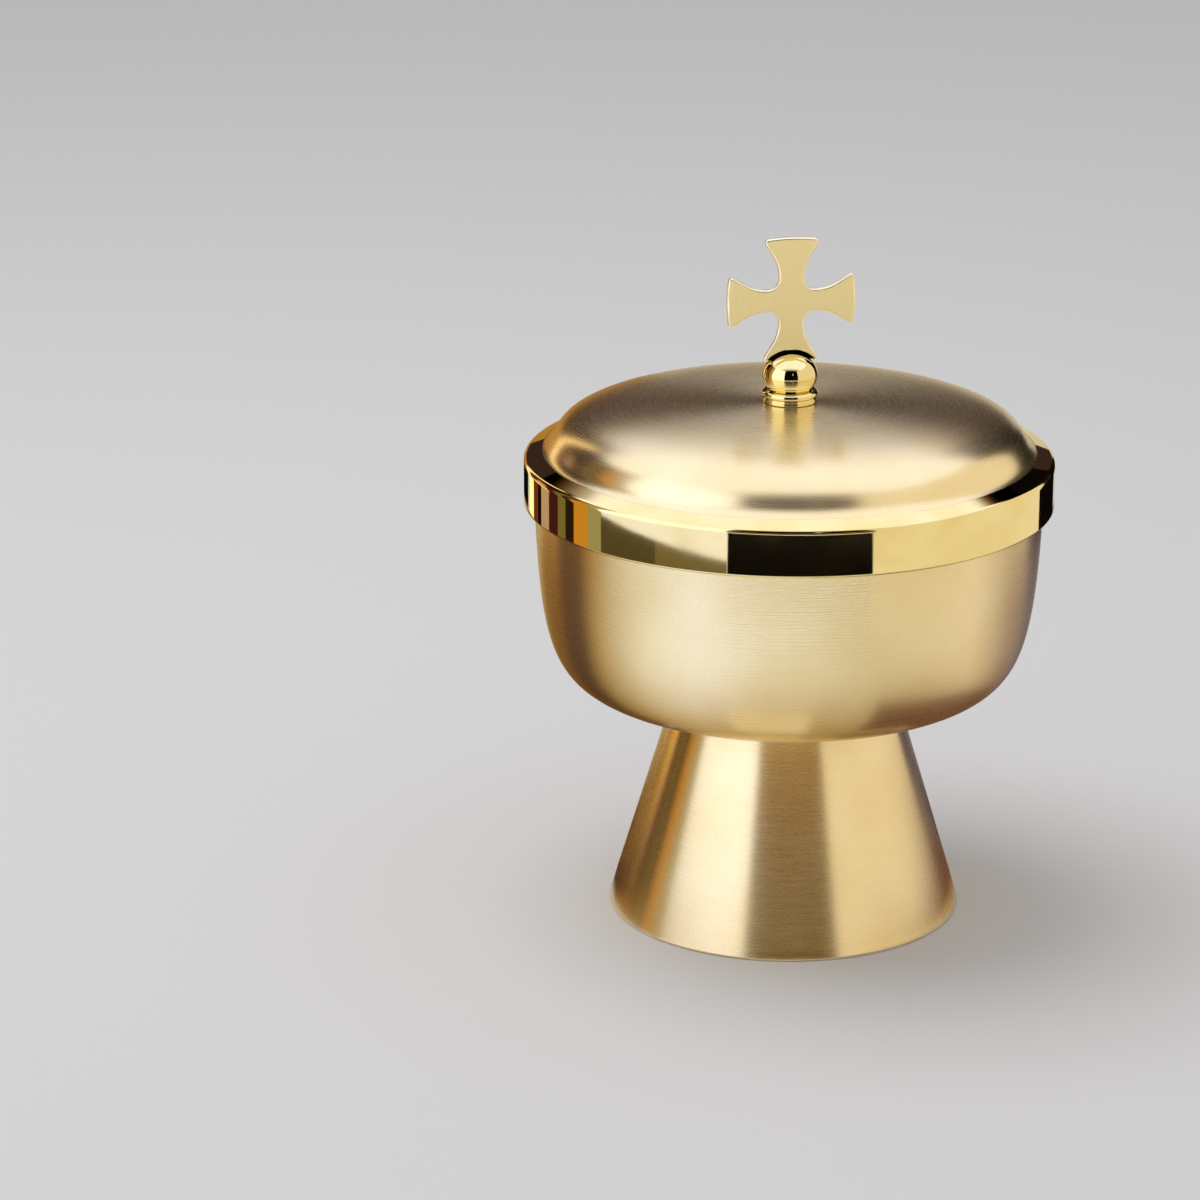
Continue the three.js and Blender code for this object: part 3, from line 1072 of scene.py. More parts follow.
@dataclass
class Lid:
    """The lid without its finial: the rim, the locating ring under it and the dome."""

    skirt_wall: float = 1.6 * MILLIMETRE
    skirt_round: float = 0.6 * MILLIMETRE
    rim_round: float = 1.5 * MILLIMETRE  # where the ledge turns down into the skirt
    rim_thickness: float = 2 * MILLIMETRE
    ledge_width: float = 4.7 * MILLIMETRE
    ledge_rise: float = 1.65 * MILLIMETRE
    rebate_depth: float = 1.2 * MILLIMETRE
    rebate_width: float = 2 * MILLIMETRE
    rim_land: float = 0.8 * MILLIMETRE
    locator_wall: float = 1.2 * MILLIMETRE
    dome_wall: float = 1 * MILLIMETRE
    dome_rise: float = 13 * MILLIMETRE
    crown_reach: float = 58.3 * MILLIMETRE
    shoulder_reach: float = 7.1 * MILLIMETRE
    shoulder_angle: float = math.radians(62)
    cove_width: float = 2.4 * MILLIMETRE
    cove_height: float = 2.45 * MILLIMETRE
    cove_reach: float = 2.2 * MILLIMETRE
    screw_hole: float = 2.3 * MILLIMETRE
    cove_points: int = 12
    crown_points: int = 56
    radius: float = field(init=False)
    skirt_bottom: float = field(init=False)
    crease: Vector = field(init=False)  # where the ledge meets the dome
    seat: float = field(init=False)  # the height at which the rim rests on the bowl
    rebate_floor: float = field(init=False)

    def __post_init__(self) -> None:
        """Takes the places from the frame."""
        lowest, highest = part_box("lid_rim_ring")
        self.radius = highest.x
        self.skirt_bottom = lowest.z
        self.crease = Vector((self.radius - self.ledge_width, highest.z))
        self.seat = highest.z - self.ledge_rise - self.rim_thickness
        self.rebate_floor = self.crease.y - self.rebate_depth

    def build(self, finishes: Finishes) -> None:
        """Makes the rim, the locating ring and the dome.

        Args:
            finishes: the object's finishes.
        """
        self._rim(finishes.polished)
        self._locator(finishes.polished)
        self._dome(finishes.satin)

    def _rim(self, finish: Material) -> None:
        """Makes the turned rim, with its skirt, its ledge and the rebate for the dome.

        Args:
            finish: its material.
        """
        shoulder = self.seat + self.rim_thickness
        inside = self.crease.x - self.rebate_width - self.rim_land
        skirt_inside = self.radius - self.skirt_wall
        outline = Outline()
        outline.corner(self.radius, self.skirt_bottom, self.skirt_round)
        outline.corner(self.radius, shoulder, self.rim_round)
        outline.corner(*self.crease)
        outline.corner(self.crease.x, self.rebate_floor)
        outline.corner(inside, self.rebate_floor)
        outline.corner(inside, self.seat)
        outline.corner(skirt_inside, self.seat)
        outline.corner(skirt_inside, self.skirt_bottom, self.skirt_round)
        piece(outline.spun(Fineness.VESSEL), "lid_rim_ring", Body.LID, finish)

    def _locator(self, finish: Material) -> None:
        """Makes the short ring that keeps the lid central in the bowl's mouth.

        Args:
            finish: its material.
        """
        lowest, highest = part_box("lid_locating_ring")
        outside = highest.x
        lead = self.locator_wall / 2
        outline = Outline()
        outline.corner(outside, highest.z)
        outline.corner(outside - self.locator_wall, highest.z)
        outline.corner(outside - self.locator_wall, lowest.z)
        outline.corner(outside - lead, lowest.z, lead / 2)
        outline.corner(outside, lowest.z + 2 * lead, lead)
        piece(outline.spun(Fineness.VESSEL), "lid_locating_ring", Body.LID, finish)

    def _skin(self) -> list[Vector]:
        """The dome's outside, from the rim through the cove up to the crown's middle.

        Returns:
            The points as (radius, height).
        """
        edge = Vector((self.crease.x - SEAM, self.crease.y))
        apex = self.crease.y + self.dome_rise
        uphill = Vector((-math.cos(self.shoulder_angle), math.sin(self.shoulder_angle)))
        bend = edge + Vector((-self.cove_width, self.cove_height))
        pull = bend - uphill * self.cove_reach
        cove = bent(edge, pull, bend, self.cove_points)
        crown = curve(
            [bend, bend + uphill * self.shoulder_reach, (self.crown_reach, apex), (0, apex)],
            self.crown_points,
        )
        return cove + crown[1:]

    def _dome(self, finish: Material) -> None:
        """Makes the dome, whose edge lies in the rim's rebate.

        Args:
            finish: its material.
        """
        skin = self._skin()
        apex = skin[-1].y
        foot_inside = self.crease.x - self.rebate_width
        foot_bottom = self.rebate_floor + SEAM
        lining = [p for p in beside(skin, self.dome_wall) if self.screw_hole < p.x < foot_inside]
        outline = Outline()
        outline.corner(skin[0].x, foot_bottom)
        outline.line(point for point in skin if point.x > self.screw_hole)
        outline.corner(self.screw_hole, apex)
        outline.corner(self.screw_hole, apex - self.dome_wall)
        outline.line(reversed(lining))
        outline.corner(foot_inside, foot_bottom)
        piece(outline.spun(Fineness.VESSEL), "lid_dome", Body.LID, finish)


# Finial


@dataclass
class Arm:
    """One flared arm of the cross, from its middle outwards."""

    length: float
    waist: float
    tip_width: float
    tip_setback: float = 1.8 * MILLIMETRE
    tip_round: float = 1.2 * MILLIMETRE
    end_crown: float = 0.6 * MILLIMETRE  # how far the middle of the end stands out
    first_handle: float = 0.48  # how far along the side it is, as a share
    second_handle: float = 0.69
    second_handle_drop: float = 0.44  # how far inside the tip it is, as a share of the flare
    side_points: int = 24
    corner_points: int = 8
    end_points: int = 8

    def side(self, other_waist: float, inside_round: float) -> list[Vector]:
        """One side of the arm, from its root to the middle of its end.

        Args:
            other_waist: the width of the arms that cross this one.
            inside_round: the radius of the inside corner between two arms.

        Returns:
            The points as (along, across).
        """
        root = Vector((other_waist / 2 + inside_round, self.waist / 2))
        tip = Vector((self.length - self.tip_setback, self.tip_width / 2))
        run = tip.x - root.x
        flare = tip.y - root.y
        first = (root.x + self.first_handle * run, root.y)
        second = (root.x + self.second_handle * run, tip.y - self.second_handle_drop * flare)
        side = curve([root, first, second, tip], self.side_points)
        shoulder = Vector((self.length - self.end_crown, tip.y + self.tip_round / 2))
        end_start = Vector((self.length - self.end_crown / 2, tip.y - self.tip_round))
        corner = bent(tip, shoulder, end_start, self.corner_points)
        pull = Vector((self.length, end_start.y / 2))
        middle = Vector((self.length, 0))
        end = bent(end_start, pull, middle, self.end_points)
        return side + corner[1:] + end[1:]


@dataclass
class Finial:
    """What the lid is lifted by: a collar, a ball and a flat cross, and their screw."""

    hole_radius: float = 2.3 * MILLIMETRE
    drum_radius: float = 7.2 * MILLIMETRE
    drum_height: float = 1.1 * MILLIMETRE
    groove: float = 0.3 * MILLIMETRE
    bead_height: float = 1.7 * MILLIMETRE
    bead_steps: int = 32
    drum_round: float = 0.2 * MILLIMETRE
    ball_radius: float = 7.25 * MILLIMETRE
    ball_half_height: float = 6.2 * MILLIMETRE
    ball_seat_drop: float = 3.8 * MILLIMETRE  # how far below its middle the ball is flat
    ball_steps: int = 48
    slot_fit: float = 0.3 * MILLIMETRE  # play round the tang and under the hollow
    thickness: float = 1.8 * MILLIMETRE
    edge_round: float = 0.5 * MILLIMETRE
    edge_steps: int = 3
    face_hold: float = 0.06 * MILLIMETRE  # width of the ring that keeps a flat face flat
    inside_round: float = 2.9 * MILLIMETRE
    inside_steps: int = 12
    tang_width: float = 4.4 * MILLIMETRE
    hollow_steps: int = 16
    upright: Arm = field(
        default_factory=lambda: Arm(16.8 * MILLIMETRE, 6.7 * MILLIMETRE, 14 * MILLIMETRE)
    )
    crossbar: Arm = field(
        default_factory=lambda: Arm(17.1 * MILLIMETRE, 5.8 * MILLIMETRE, 12.8 * MILLIMETRE)
    )
    washer_round: float = 0.15 * MILLIMETRE
    ball_bore: float = 2.1 * MILLIMETRE
    bore_spare: float = 0.3 * MILLIMETRE  # how much deeper the bore is than the screw
    screw_radius: float = 2 * MILLIMETRE
    screw_chamfer: float = 0.4 * MILLIMETRE
    screw_head_height: float = 2.4 * MILLIMETRE
    driver_slot_width: float = 1 * MILLIMETRE
    driver_slot_depth: float = 1.2 * MILLIMETRE
    ball_middle: float = field(init=False)
    cross_middle: float = field(init=False)
    tang_end: float = field(init=False)  # how far below the cross's middle the tang ends

    def __post_init__(self) -> None:
        """Takes the places from the frame."""
        self.ball_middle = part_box("finial_ball")[0].z + self.ball_seat_drop
        lowest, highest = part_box("finial_cross")
        self.cross_middle = highest.z - self.upright.length
        self.tang_end = self.cross_middle - lowest.z

    def build(self, finishes: Finishes) -> None:
        """Makes the pieces.

        Args:
            finishes: the object's finishes.
        """
        self._collar(finishes.polished)
        self._ball(finishes.polished)
        self._cross(finishes.pale_satin)
        self._washer(finishes.bare_brass)
        self._screw(finishes.bare_brass)

    def _collar(self, finish: Material) -> None:
        """Makes the collar: a drum, a groove and a bead.

        Args:
            finish: its material.
        """
        lowest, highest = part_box("finial_collar")
        drum_top = lowest.z + self.drum_height
        bead_radius = self.bead_height / 2
        bead_bottom = highest.z - self.bead_height
        centre = Vector((highest.x - bead_radius, bead_bottom + bead_radius))
        bead = arc(centre, Vector((0, -bead_radius)), math.pi, self.bead_steps)
        groove_radius = self.drum_radius - self.groove
        outline = Outline()
        outline.corner(self.hole_radius, lowest.z)
        outline.corner(self.drum_radius, lowest.z, self.drum_round)
        outline.corner(self.drum_radius, drum_top, self.drum_round)
        outline.corner(groove_radius, drum_top)
        outline.corner(groove_radius, bead_bottom)
        outline.line(bead)
        outline.corner(self.hole_radius, highest.z)
        piece(outline.spun(Fineness.FINIAL), "finial_collar", Body.LID, finish)

    def _ball(self, finish: Material) -> None:
        """Makes the ball, a little flatter than a sphere, with the slot for the tang.

        Args:
            finish: its material.
        """
        start = -math.asin(self.ball_seat_drop / self.ball_half_height)
        angles = [
            start + (math.pi / 2 - start) * step / self.ball_steps
            for step in range(self.ball_steps + 1)
        ]
        bore_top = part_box("finial_screw")[1].z + self.bore_spare
        outline = Outline()
        outline.corner(0, bore_top)
        outline.corner(self.ball_bore, bore_top)
        outline.corner(self.ball_bore, self.ball_middle - self.ball_seat_drop)
        outline.line(
            Vector((
                self.ball_radius * math.cos(angle),
                self.ball_middle + self.ball_half_height * math.sin(angle),
            ))
            for angle in angles[:-1]
        )
        outline.corner(0, self.ball_middle + self.ball_half_height)
        ball = piece(
            outline.spun(Fineness.FINIAL), "finial_ball", Body.LID, finish
        )
        bottom = self.cross_middle - self.tang_end - self.slot_fit
        top = self.ball_middle + 2 * self.ball_half_height
        size = Vector((
            self.tang_width + 2 * self.slot_fit,
            self.thickness + 2 * self.slot_fit,
            top - bottom,
        ))
        cut_slot(ball, size, UP * (top + bottom) / 2)

    def _washer(self, finish: Material) -> None:
        """Makes the washer inside the lid.

        Args:
            finish: its material.
        """
        lowest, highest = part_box("finial_washer")
        outline = Outline()
        outline.corner(self.hole_radius, lowest.z)
        outline.corner(highest.x, lowest.z, self.washer_round)
        outline.corner(highest.x, highest.z, self.washer_round)
        outline.corner(self.hole_radius, highest.z)
        piece(outline.spun(Fineness.HARDWARE), "finial_washer", Body.LID, finish)

    def _screw(self, finish: Material) -> None:
        """Makes the screw that holds the ball, with its slotted head downwards.

        Args:
            finish: its material.
        """
        lowest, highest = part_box("finial_screw")
        shoulder = lowest.z + self.screw_head_height
        edge = 2 * self.screw_chamfer
        outline = Outline()
        outline.corner(0, lowest.z)
        outline.corner(highest.x - edge, lowest.z)
        outline.corner(highest.x, lowest.z + edge, self.screw_chamfer)
        outline.corner(highest.x, shoulder)
        outline.corner(self.screw_radius, shoulder)
        outline.corner(self.screw_radius, highest.z - self.screw_chamfer)
        outline.corner(self.screw_radius - self.screw_chamfer, highest.z)
        outline.corner(0, highest.z)
        screw = piece(
            outline.spun(Fineness.HARDWARE), "finial_screw", Body.LID, finish
        )
        size = Vector((3 * highest.x, self.driver_slot_width, 2 * self.driver_slot_depth))
        cut_slot(screw, size, UP * lowest.z)

    def _inside_corner(self, quarter: int) -> list[Vector]:
        """The round inside corner after an arm, without its ends.

        Args:
            quarter: which arm comes before it, from the right arm on.

        Returns:
            The points as (right, up).
        """
        right = (1, -1, -1, 1)[quarter]
        up = (1, 1, -1, -1)[quarter]
        centre = Vector((
            right * (self.upright.waist / 2 + self.inside_round),
            up * (self.crossbar.waist / 2 + self.inside_round),
        ))
        start = Matrix.Rotation((quarter - 1) * math.pi / 2, 2) @ Vector((self.inside_round, 0))
        return arc(centre, start, -math.pi / 2, self.inside_steps)[1:-1]

    def _hollow_at(self, across: float) -> float:
        """How far out the lower arm's hollow is.

        Args:
            across: the distance from the arm's middle line.

        Returns:
            The distance from the cross's middle.
        """
        share = across / (self.ball_radius + self.slot_fit)
        rise = (self.ball_half_height + self.slot_fit) * math.sqrt(1 - share * share)
        return self.cross_middle - self.ball_middle - rise

    def _footed(self, side: list[Vector]) -> list[Vector]:
        """The lower arm's side: its end is hollowed over the ball and has the tang.

        Args:
            side: the side of an arm with a plain end.

        Returns:
            The points as (along, across).
        """
        kept = side[:next(i for i, point in enumerate(side) if point.x >= self._hollow_at(point.y))]
        reach = kept[-1].y - self.edge_round
        tang = self.tang_width / 2
        hollow = [
            reach + (tang - reach) * step / self.hollow_steps
            for step in range(self.hollow_steps + 1)
        ]
        end = [Vector((self._hollow_at(across), across)) for across in hollow]
        return kept + end + [Vector((self.tang_end, tang))]

    def _cross(self, finish: Material) -> None:
        """Makes the cross: its outline is extruded, and its edges are chamfered.

        Args:
            finish: its material.
        """
        upright = self.upright.side(self.crossbar.waist, self.inside_round)
        crossbar = self.crossbar.side(self.upright.waist, self.inside_round)
        outline: list[Vector] = []
        for quarter, side in enumerate([crossbar, upright, crossbar, self._footed(upright)]):
            turn = Matrix.Rotation(quarter * math.pi / 2, 2)
            near = [Vector((point.x, -point.y)) for point in side]
            far = [point for point in reversed(side) if point.y > MERGE_DISTANCE]
            outline.extend(turn @ point for point in near + far)
            outline.extend(self._inside_corner(quarter))
        mesh = bmesh.new()
        front = -self.thickness / 2
        verts = [mesh.verts.new((p.x, front, self.cross_middle + p.y)) for p in outline]
        face = mesh.faces.new(verts)
        swept = bmesh.ops.extrude_face_region(mesh, geom=[face], use_keep_orig=True)
        moved = [item for item in swept["geom"] if isinstance(item, BMVert)]
        bmesh.ops.translate(mesh, verts=moved, vec=(0, self.thickness, 0))
        bmesh.ops.recalc_face_normals(mesh, faces=mesh.faces)
        rims = [edge for edge in mesh.edges if edge.verts[0].co.y == edge.verts[1].co.y]
        bmesh.ops.bevel(
            mesh,
            geom=rims,
            offset=self.edge_round,
            affect="EDGES",
            segments=self.edge_steps,
            profile=0.5,
            material=-1,
        )
        flats = [face for face in mesh.faces if len(face.verts) > FLAT_CORNERS]
        bmesh.ops.inset_individual(mesh, faces=flats, thickness=self.face_hold)
        piece(mesh, "finial_cross", Body.LID, finish)


# Studio


@dataclass(frozen=True)
class PaintedFloor:
    """A matt painted floor, rolled, so it has no gloss and hardly any grain."""

    name: str = "matt_painted_floor"
    colour: str = "#D9D8D8"
    roughness: float = 0.9

    def material(self) -> Material:
        """Builds the material.

        Returns:
            The material.
        """
        material, tree = new_material(self.name)
        shader = add(
            tree,
            "ShaderNodeBsdfPrincipled",
            {
                "Base Color": linear(self.colour),
                "Roughness": self.roughness,
                "Specular IOR Level": 0.0,
            },
        )
        add(tree, "ShaderNodeOutputMaterial", None, {"Surface": shader.outputs[0]})
        return material


@dataclass(frozen=True)
class CardFace:
    """The face of a card, a sheet of paper or a flat softbox, even all over."""

    name: str
    colour: str
    strength: float

    def material(self) -> Material:
        """Builds the material.

        Returns:
            The material.
        """
        material, tree = new_material(self.name)
        shader = add(
            tree, "ShaderNodeEmission", {"Color": linear(self.colour), "Strength": self.strength}
        )
        add(tree, "ShaderNodeOutputMaterial", None, {"Surface": shader.outputs[0]})
        return material


@dataclass(frozen=True)
class SoftboxFace:
    """The cloth of the softbox over the object: wide in front, narrow behind, soft at its edges."""

    name: str = "overhead_softbox"
    colour: str = "#EEF0FF"
    dim_colour: str = "#D89A50"  # where the light fades
    strength: float = 1.4
    front: tuple[float, float] = (-0.8, -0.35)  # where the light starts and where it is full
    back: tuple[float, float] = (2.3, 0.6)
    narrowing: tuple[float, float] = (0.35, 0.85)  # how far back it starts and ends
    half_widths: tuple[float, float] = (0.91, 0.33)  # in front and behind
    edge: tuple[float, float] = (1.3, 0.75)  # as shares of the half width

    def material(self) -> Material:
        """Builds the material.

        Returns:
            The material.
        """
        material, tree = new_material(self.name)
        place = add(tree, "ShaderNodeTexCoord").outputs["Object"]
        turned = add(
            tree, "ShaderNodeMapping", {"Rotation": (0, 0, CROSS_TURN)}, {"Vector": place}
        ).outputs[0]
        parts = add(tree, "ShaderNodeSeparateXYZ", None, {0: turned})
        along = parts.outputs["Y"]
        across = add(
            tree, "ShaderNodeMath", {"operation": "ABSOLUTE"}, {0: parts.outputs["X"]}
        ).outputs[0]
        half_width = self._fade(tree, along, self.narrowing, self.half_widths)
        share = add(
            tree, "ShaderNodeMath", {"operation": "DIVIDE"}, {0: across, 1: half_width}
        ).outputs[0]
        light = self._fade(tree, share, self.edge, (0, self.strength))
        for ends in (self.front, self.back):
            light = add(
                tree,
                "ShaderNodeMath",
                {"operation": "MULTIPLY"},
                {0: light, 1: self._fade(tree, along, ends, (0, 1))},
            ).outputs[0]
        colour = blend(tree, light, self.dim_colour, self.colour)
        shader = add(tree, "ShaderNodeEmission", None, {"Color": colour, "Strength": light})
        add(tree, "ShaderNodeOutputMaterial", None, {"Surface": shader.outputs[0]})
        return material

    def _fade(
        self,
        tree: NodeTree,
        value: NodeSocket,
        ends: tuple[float, float],
        results: tuple[float, float],
    ) -> NodeSocket:
        """Fades softly from one value to another.

        Args:
            tree: the material's node tree.
            value: what the fade follows.
            ends: where the fade starts and ends.
            results: the values there.

        Returns:
            The faded value.
        """
        return add(
            tree,
            "ShaderNodeMapRange",
            {
                "interpolation_type": "SMOOTHSTEP",
                "From Min": ends[0],
                "From Max": ends[1],
                "To Min": results[0],
                "To Max": results[1],
            },
            {"Value": value},
        ).outputs[0]


class Paper(Enum):
    """The papers that lie round the foot."""

    COOL_WHITE = "#E2E8FF"
    WHITE = "#D4D6D8"
    IVORY = "#C0BAAA"
    CREAM = "#CCC4BA"
    MAUVE = "#8C7C76"
    PLUM = "#585062"
    GREY = "#A8A49C"
    BUFF = "#A08C62"
    BROWN = "#6C4E28"
    UMBER = "#4A362E"


@dataclass(frozen=True)
class PaperRing:
    """The papers round the foot, which the bowl shows: cool and bright on the left."""

    name: str = "paper_ring"
    strength: float = 1.4
    shade: str = "#BC9F6C"  # close to the foot
    shade_start: float = 0.2
    shade_end: float = 0.06
    papers: tuple[tuple[float, Paper], ...] = (  # degrees round from the camera, to its right
        (-90, Paper.BUFF),
        (-62, Paper.WHITE),
        (-40, Paper.COOL_WHITE),
        (-8, Paper.WHITE),
        (38, Paper.IVORY),
        (84, Paper.CREAM),
        (111, Paper.MAUVE),
        (141, Paper.PLUM),
        (176, Paper.GREY),
        (206, Paper.BUFF),
        (217, Paper.BROWN),
        (234, Paper.BROWN),
        (243, Paper.UMBER),
        (259, Paper.UMBER),
        (270, Paper.BUFF),
    )

    def material(self) -> Material:
        """Builds the material.

        Returns:
            The material.
        """
        material, tree = new_material(self.name)
        place = add(tree, "ShaderNodeTexCoord").outputs["Object"]
        turned = add(
            tree, "ShaderNodeMapping", {"Rotation": (0, 0, CROSS_TURN)}, {"Vector": place}
        ).outputs[0]
        round_share = add(
            tree, "ShaderNodeTexGradient", {"gradient_type": "RADIAL"}, {"Vector": turned}
        ).outputs["Fac"]
        ramp = add(tree, "ShaderNodeValToRGB", None, {"Fac": round_share})
        stops = ramp.color_ramp.elements
        while len(stops) < len(self.papers):
            stops.new(0.5)
        first = self.papers[0][0]
        for stop, (angle, paper) in zip(stops, self.papers):
            stop.position = (angle - first) / 360
            stop.color = linear(paper.value)
        reach = add(
            tree, "ShaderNodeVectorMath", {"operation": "LENGTH"}, {0: place}
        ).outputs["Value"]
        near = add(
            tree,
            "ShaderNodeMapRange",
            {"From Min": self.shade_start, "From Max": self.shade_end},
            {"Value": reach},
        ).outputs[0]
        shaded = add(
            tree,
            "ShaderNodeMix",
            {"data_type": "RGBA", "blend_type": "MULTIPLY", 7: linear(self.shade)},
            {0: near, 6: ramp.outputs["Color"]},
        ).outputs[2]
        shader = add(tree, "ShaderNodeEmission", {"Strength": self.strength}, {"Color": shaded})
        add(tree, "ShaderNodeOutputMaterial", None, {"Surface": shader.outputs[0]})
        return material


@dataclass(frozen=True)
class Card:
    """A card bent round the object. Only shiny surfaces show it."""

    name: str
    start: float  # degrees round from the camera, to its right
    end: float
    profile: tuple[tuple[float, float], ...]  # its side view, as (radius, height)
    face: CardFace | PaperRing
    step: float = 3.0  # degrees from one corner to the next
    climb: float = 0.0  # how much higher its end is than its start

    def build(self, turn: Matrix) -> Object:
        """Makes the card: its side view, spun part of the way round.

        Args:
            turn: the turn from the camera's side to the object's frame.

        Returns:
            The card.
        """
        angle = math.radians(self.start)
        outward = Vector((math.sin(angle), -math.cos(angle), 0))
        mesh = bmesh.new()
        verts = [mesh.verts.new(outward * radius + UP * height) for radius, height in self.profile]
        edges = [mesh.edges.new(ends) for ends in zip(verts, verts[1:])]
        width = self.end - self.start
        steps = max(1, round(width / self.step))
        bmesh.ops.spin(
            mesh,
            geom=verts + edges,
            cent=(0, 0, 0),
            axis=(0, 0, 1),
            dvec=UP * self.climb / steps,
            angle=math.radians(width),
            steps=steps,
        )
        bmesh.ops.transform(mesh, matrix=turn, verts=mesh.verts)
        return staged(mesh, self.name, self.face.material())


def standing(low: float, high: float, radius: float = 0.4) -> tuple[tuple[float, float], ...]:
    """The side view of a card that stands round the object, as (radius, height)."""
    return (radius, low), (radius, high)


def lying(inner: float, outer: float, height: float) -> tuple[tuple[float, float], ...]:
    """The side view of a card that lies flat, as (radius, height)."""
    return (inner, height), (outer, height)


def coloured(
    name: str,
    start: float,
    end: float,
    profile: tuple[tuple[float, float], ...],
    colour: str,
    strength: float = 1.0,
    climb: float = 0.0,
) -> Card:
    """A card of one colour.

    Args:
        name: its name.
        start: where it starts, in degrees round from the camera, to its right.
        end: where it ends.
        profile: its side view, as (radius, height).
        colour: its colour in hex.
        strength: how bright it is.
        climb: how much higher its end is than its start.

    Returns:
        The card.
    """
    return Card(name, start, end, profile, CardFace(name, colour, strength), climb=climb)


def staged(mesh: BMesh, name: str, finish: Material) -> Object:
    """Makes a thing of the studio.

    Args:
        mesh: its shape, which is freed.
        name: its name.
        finish: its material.

    Returns:
        The object, which is not part of the ciborium.
    """
    data = bpy.data.meshes.new(name)
    mesh.to_mesh(data)
    mesh.free()
    data.materials.append(finish)
    made = bpy.data.objects.new(name, data)
    bpy.context.scene.collection.objects.link(made)
    return made


@dataclass
class Studio:
    """The pale floor, the soft light, the cards that the metal shows and the camera."""

    floor_radius: float = 12.0
    floor_corners: int = 96
    room_radius: float = 2.5
    world_colour: str = "#E4E4E6"
    world_strength: float = 0.8
    camera_place: tuple[float, float, float] = (-0.04986, -1.11394, 0.44071)
    camera_pitch: float = math.radians(-17.73)
    lens: float = 131.58  # in millimetres, as the sensor's width
    sensor: float = 36.0
    paper_height: float = 1 * MILLIMETRE
    top_paper_height: float = 1.5 * MILLIMETRE  # of what lies on the papers
    overhead_height: float = 0.8
    overhead_reach: float = 2.4
    lamp_place: tuple[float, float, float] = (-0.35, 0.1, 1.2)
    lamp_size: float = 0.9
    lamp_power: float = 6.0

    def build(self) -> None:
        """Makes the studio."""
        turn = Matrix.Rotation(-CROSS_TURN, 4, "Z")
        self._floor()
        self._world()
        for card in self._cards():
            self._shown_to_metal_only(card.build(turn))
        self._overhead(turn)
        self._lamp(turn)
        self._camera(turn)

    def _floor(self) -> None:
        """Lays the floor."""
        mesh = bmesh.new()
        bmesh.ops.create_circle(
            mesh, cap_ends=True, segments=self.floor_corners, radius=self.floor_radius
        )
        staged(mesh, "floor", PaintedFloor().material())

    def _world(self) -> None:
        """Sets the even light from all round."""
        world = bpy.data.worlds.new("studio")
        world.use_nodes = True
        world.node_tree.nodes.clear()
        background = add(
            world.node_tree,
            "ShaderNodeBackground",
            {"Color": linear(self.world_colour), "Strength": self.world_strength},
        )
        add(world.node_tree, "ShaderNodeOutputWorld", None, {"Surface": background.outputs[0]})
        bpy.context.scene.world = world

    def _cards(self) -> list[Card]:
        """The room, the paper on the floor and the cards, from the front round to the left.

        Returns:
            The cards.
        """
        rises = (0, 0.4, 0.8, 1.2, math.pi / 2)  # angles above the floor
        vault = [(self.room_radius * math.cos(a), self.room_radius * math.sin(a)) for a in rises]
        low = self.paper_height
        high = self.top_paper_height
        dark_floor = ((0.35, high), (0.4, high), (0.4, 0.36))
        black = "#0C0806"
        return [
            coloured("room", 0, 360, tuple(vault), "#42291A"),
            Card("paper_ring", 0, 360, lying(0.05, 0.4, low), PaperRing(), step=5),
            # painted light and shade on the floor beside the foot, which the bowl's underside shows:
            # lighter in front, darker to the right
            coloured("foot_light_paper", -28, 8, lying(0.055, 0.11, high), "#FFF0D0", 0.8),
            coloured("foot_shade_paper", 36, 125, lying(0.055, 0.125, high), "#6A4636"),
            coloured("dark_table_edge", -26, 31, lying(0.38, 0.51, high), black),
            coloured("front_paper", -26, 31, lying(0.51, 0.68, low), "#F4F0F0", 3.6),
            coloured("dark_front_card", -26, 31, ((0.9, 0), (0.9, 1.0), (0.3, 1.6)), black),
            coloured("gold_front_shelf", -26, 31, lying(0.25, 0.36, 0.147), "#E8AC38", 1.3),
            coloured("window_glint", 9, 11, standing(0.28, 0.36), "#FFFFFF", 1.2),
            coloured("right_card", 31, 126, standing(0, 0.47), "#F2E6D2", 1.05),
            coloured("right_dark_card", 126, 152, dark_floor, black),
            coloured("pale_back_card", 152, 186, standing(0.02, 0.17), "#D8CDB8"),
            coloured("amber_back_card", 186, 216, standing(0.03, 0.17), "#B4843C"),
            coloured("plum_back_card", 152, 216, standing(0.17, 0.31), "#3A2826"),
            coloured("dark_back_strip", 194, 212, standing(0, 0.03), black),
            coloured("pale_edge_card", 215, 222, standing(0, 0.4), "#E8CFA0", 1.9),
            coloured("russet_card", 222, 228, standing(0, 0.4), "#6A3420"),
            coloured("dark_strip_card", 228, 232, standing(0, 0.4), black),
            coloured("rose_card", 232, 240, standing(0, 0.2), "#C0A08C"),
            coloured("gold_left_card", 226, 241, standing(0.02, 0.075, 0.39), "#E8B860", 1.7),
            coloured("wine_card", 240, 248, standing(0, 0.4), "#451C20"),
            coloured("olive_card", 248, 254, standing(0, 0.4), "#7A7040"),
            coloured("umber_card", 254, 260, standing(0, 0.4), "#2A1C10"),
            coloured("amber_card", 260, 269, standing(0, 0.4), "#D09030"),
            coloured("stone_card", 269, 277, standing(0, 0.4), "#A09A78"),
            coloured("dark_moss", -83, -56, standing(0, 0.0223, 0.39), "#564A32", climb=-0.0027),
            coloured("moss", -56, -26, standing(0, 0.0196, 0.39), "#766848", climb=-0.003),
            coloured("left_softbox_edge", -83, -26, standing(0, 0.07), "#E7E7FF", 1.35),
            coloured("left_softbox", -83, -26, standing(0.07, 0.49), "#EDF0FF", 1.7),
        ]

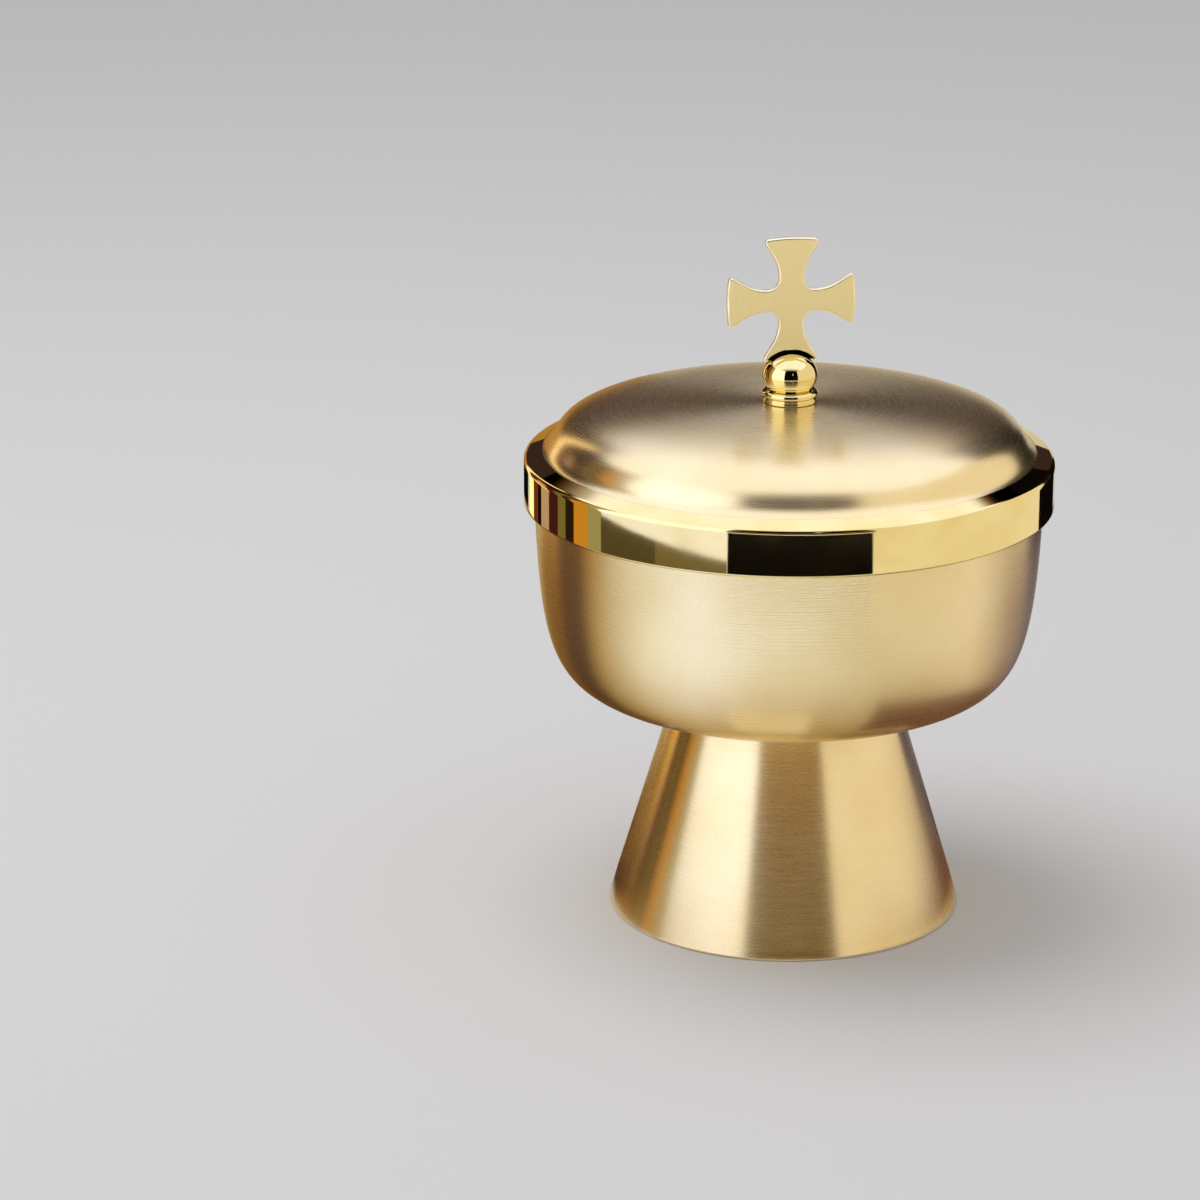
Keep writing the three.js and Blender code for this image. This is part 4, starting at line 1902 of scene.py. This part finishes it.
    def _shown_to_metal_only(self, card: Object) -> None:
        """Hides a card from the camera and from everything that is not shiny.

        Args:
            card: the card.
        """
        card.visible_camera = False
        card.visible_diffuse = False
        card.visible_transmission = False
        card.visible_shadow = False

    def _overhead(self, turn: Matrix) -> None:
        """Hangs the softbox over the object.

        Args:
            turn: the turn from the camera's side to the object's frame.
        """
        mesh = bmesh.new()
        bmesh.ops.create_grid(mesh, x_segments=1, y_segments=1, size=self.overhead_reach)
        bmesh.ops.translate(mesh, verts=mesh.verts, vec=UP * self.overhead_height)
        bmesh.ops.transform(mesh, matrix=turn, verts=mesh.verts)
        self._shown_to_metal_only(staged(mesh, "overhead_softbox", SoftboxFace().material()))

    def _lamp(self, turn: Matrix) -> None:
        """Hangs the lamp that gives the floor its soft shadow.

        Args:
            turn: the turn from the camera's side to the object's frame.
        """
        data = bpy.data.lights.new("floor_lamp", "AREA")
        data.energy = self.lamp_power
        data.shape = "DISK"
        data.size = self.lamp_size
        lamp = bpy.data.objects.new("floor_lamp", data)
        lamp.location = turn @ Vector(self.lamp_place)
        lamp.rotation_euler = (-lamp.location).to_track_quat("-Z", "Y").to_euler()
        lamp.visible_camera = False
        lamp.visible_glossy = False
        bpy.context.scene.collection.objects.link(lamp)

    def _camera(self, turn: Matrix) -> None:
        """Sets up the camera.

        Args:
            turn: the turn from the camera's side to the object's frame.
        """
        data = bpy.data.cameras.new("camera")
        data.lens = self.lens
        data.sensor_width = self.sensor
        camera = bpy.data.objects.new("camera", data)
        camera.location = turn @ Vector(self.camera_place)
        camera.rotation_euler = (math.pi / 2 + self.camera_pitch, 0, -CROSS_TURN)
        bpy.context.scene.collection.objects.link(camera)
        bpy.context.scene.camera = camera


def main() -> None:
    """Builds the studio and the object."""
    logging.basicConfig(level=logging.INFO, format="%(name)s %(message)s")
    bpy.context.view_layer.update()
    bpy.context.scene.view_settings.view_transform = "Standard"
    Studio().build()
    finishes = Finishes()
    for part in (Foot(), Bowl(), Clamp(), Lid(), Finial()):
        part.build(finishes)


if __name__ == "__main__":
    main()
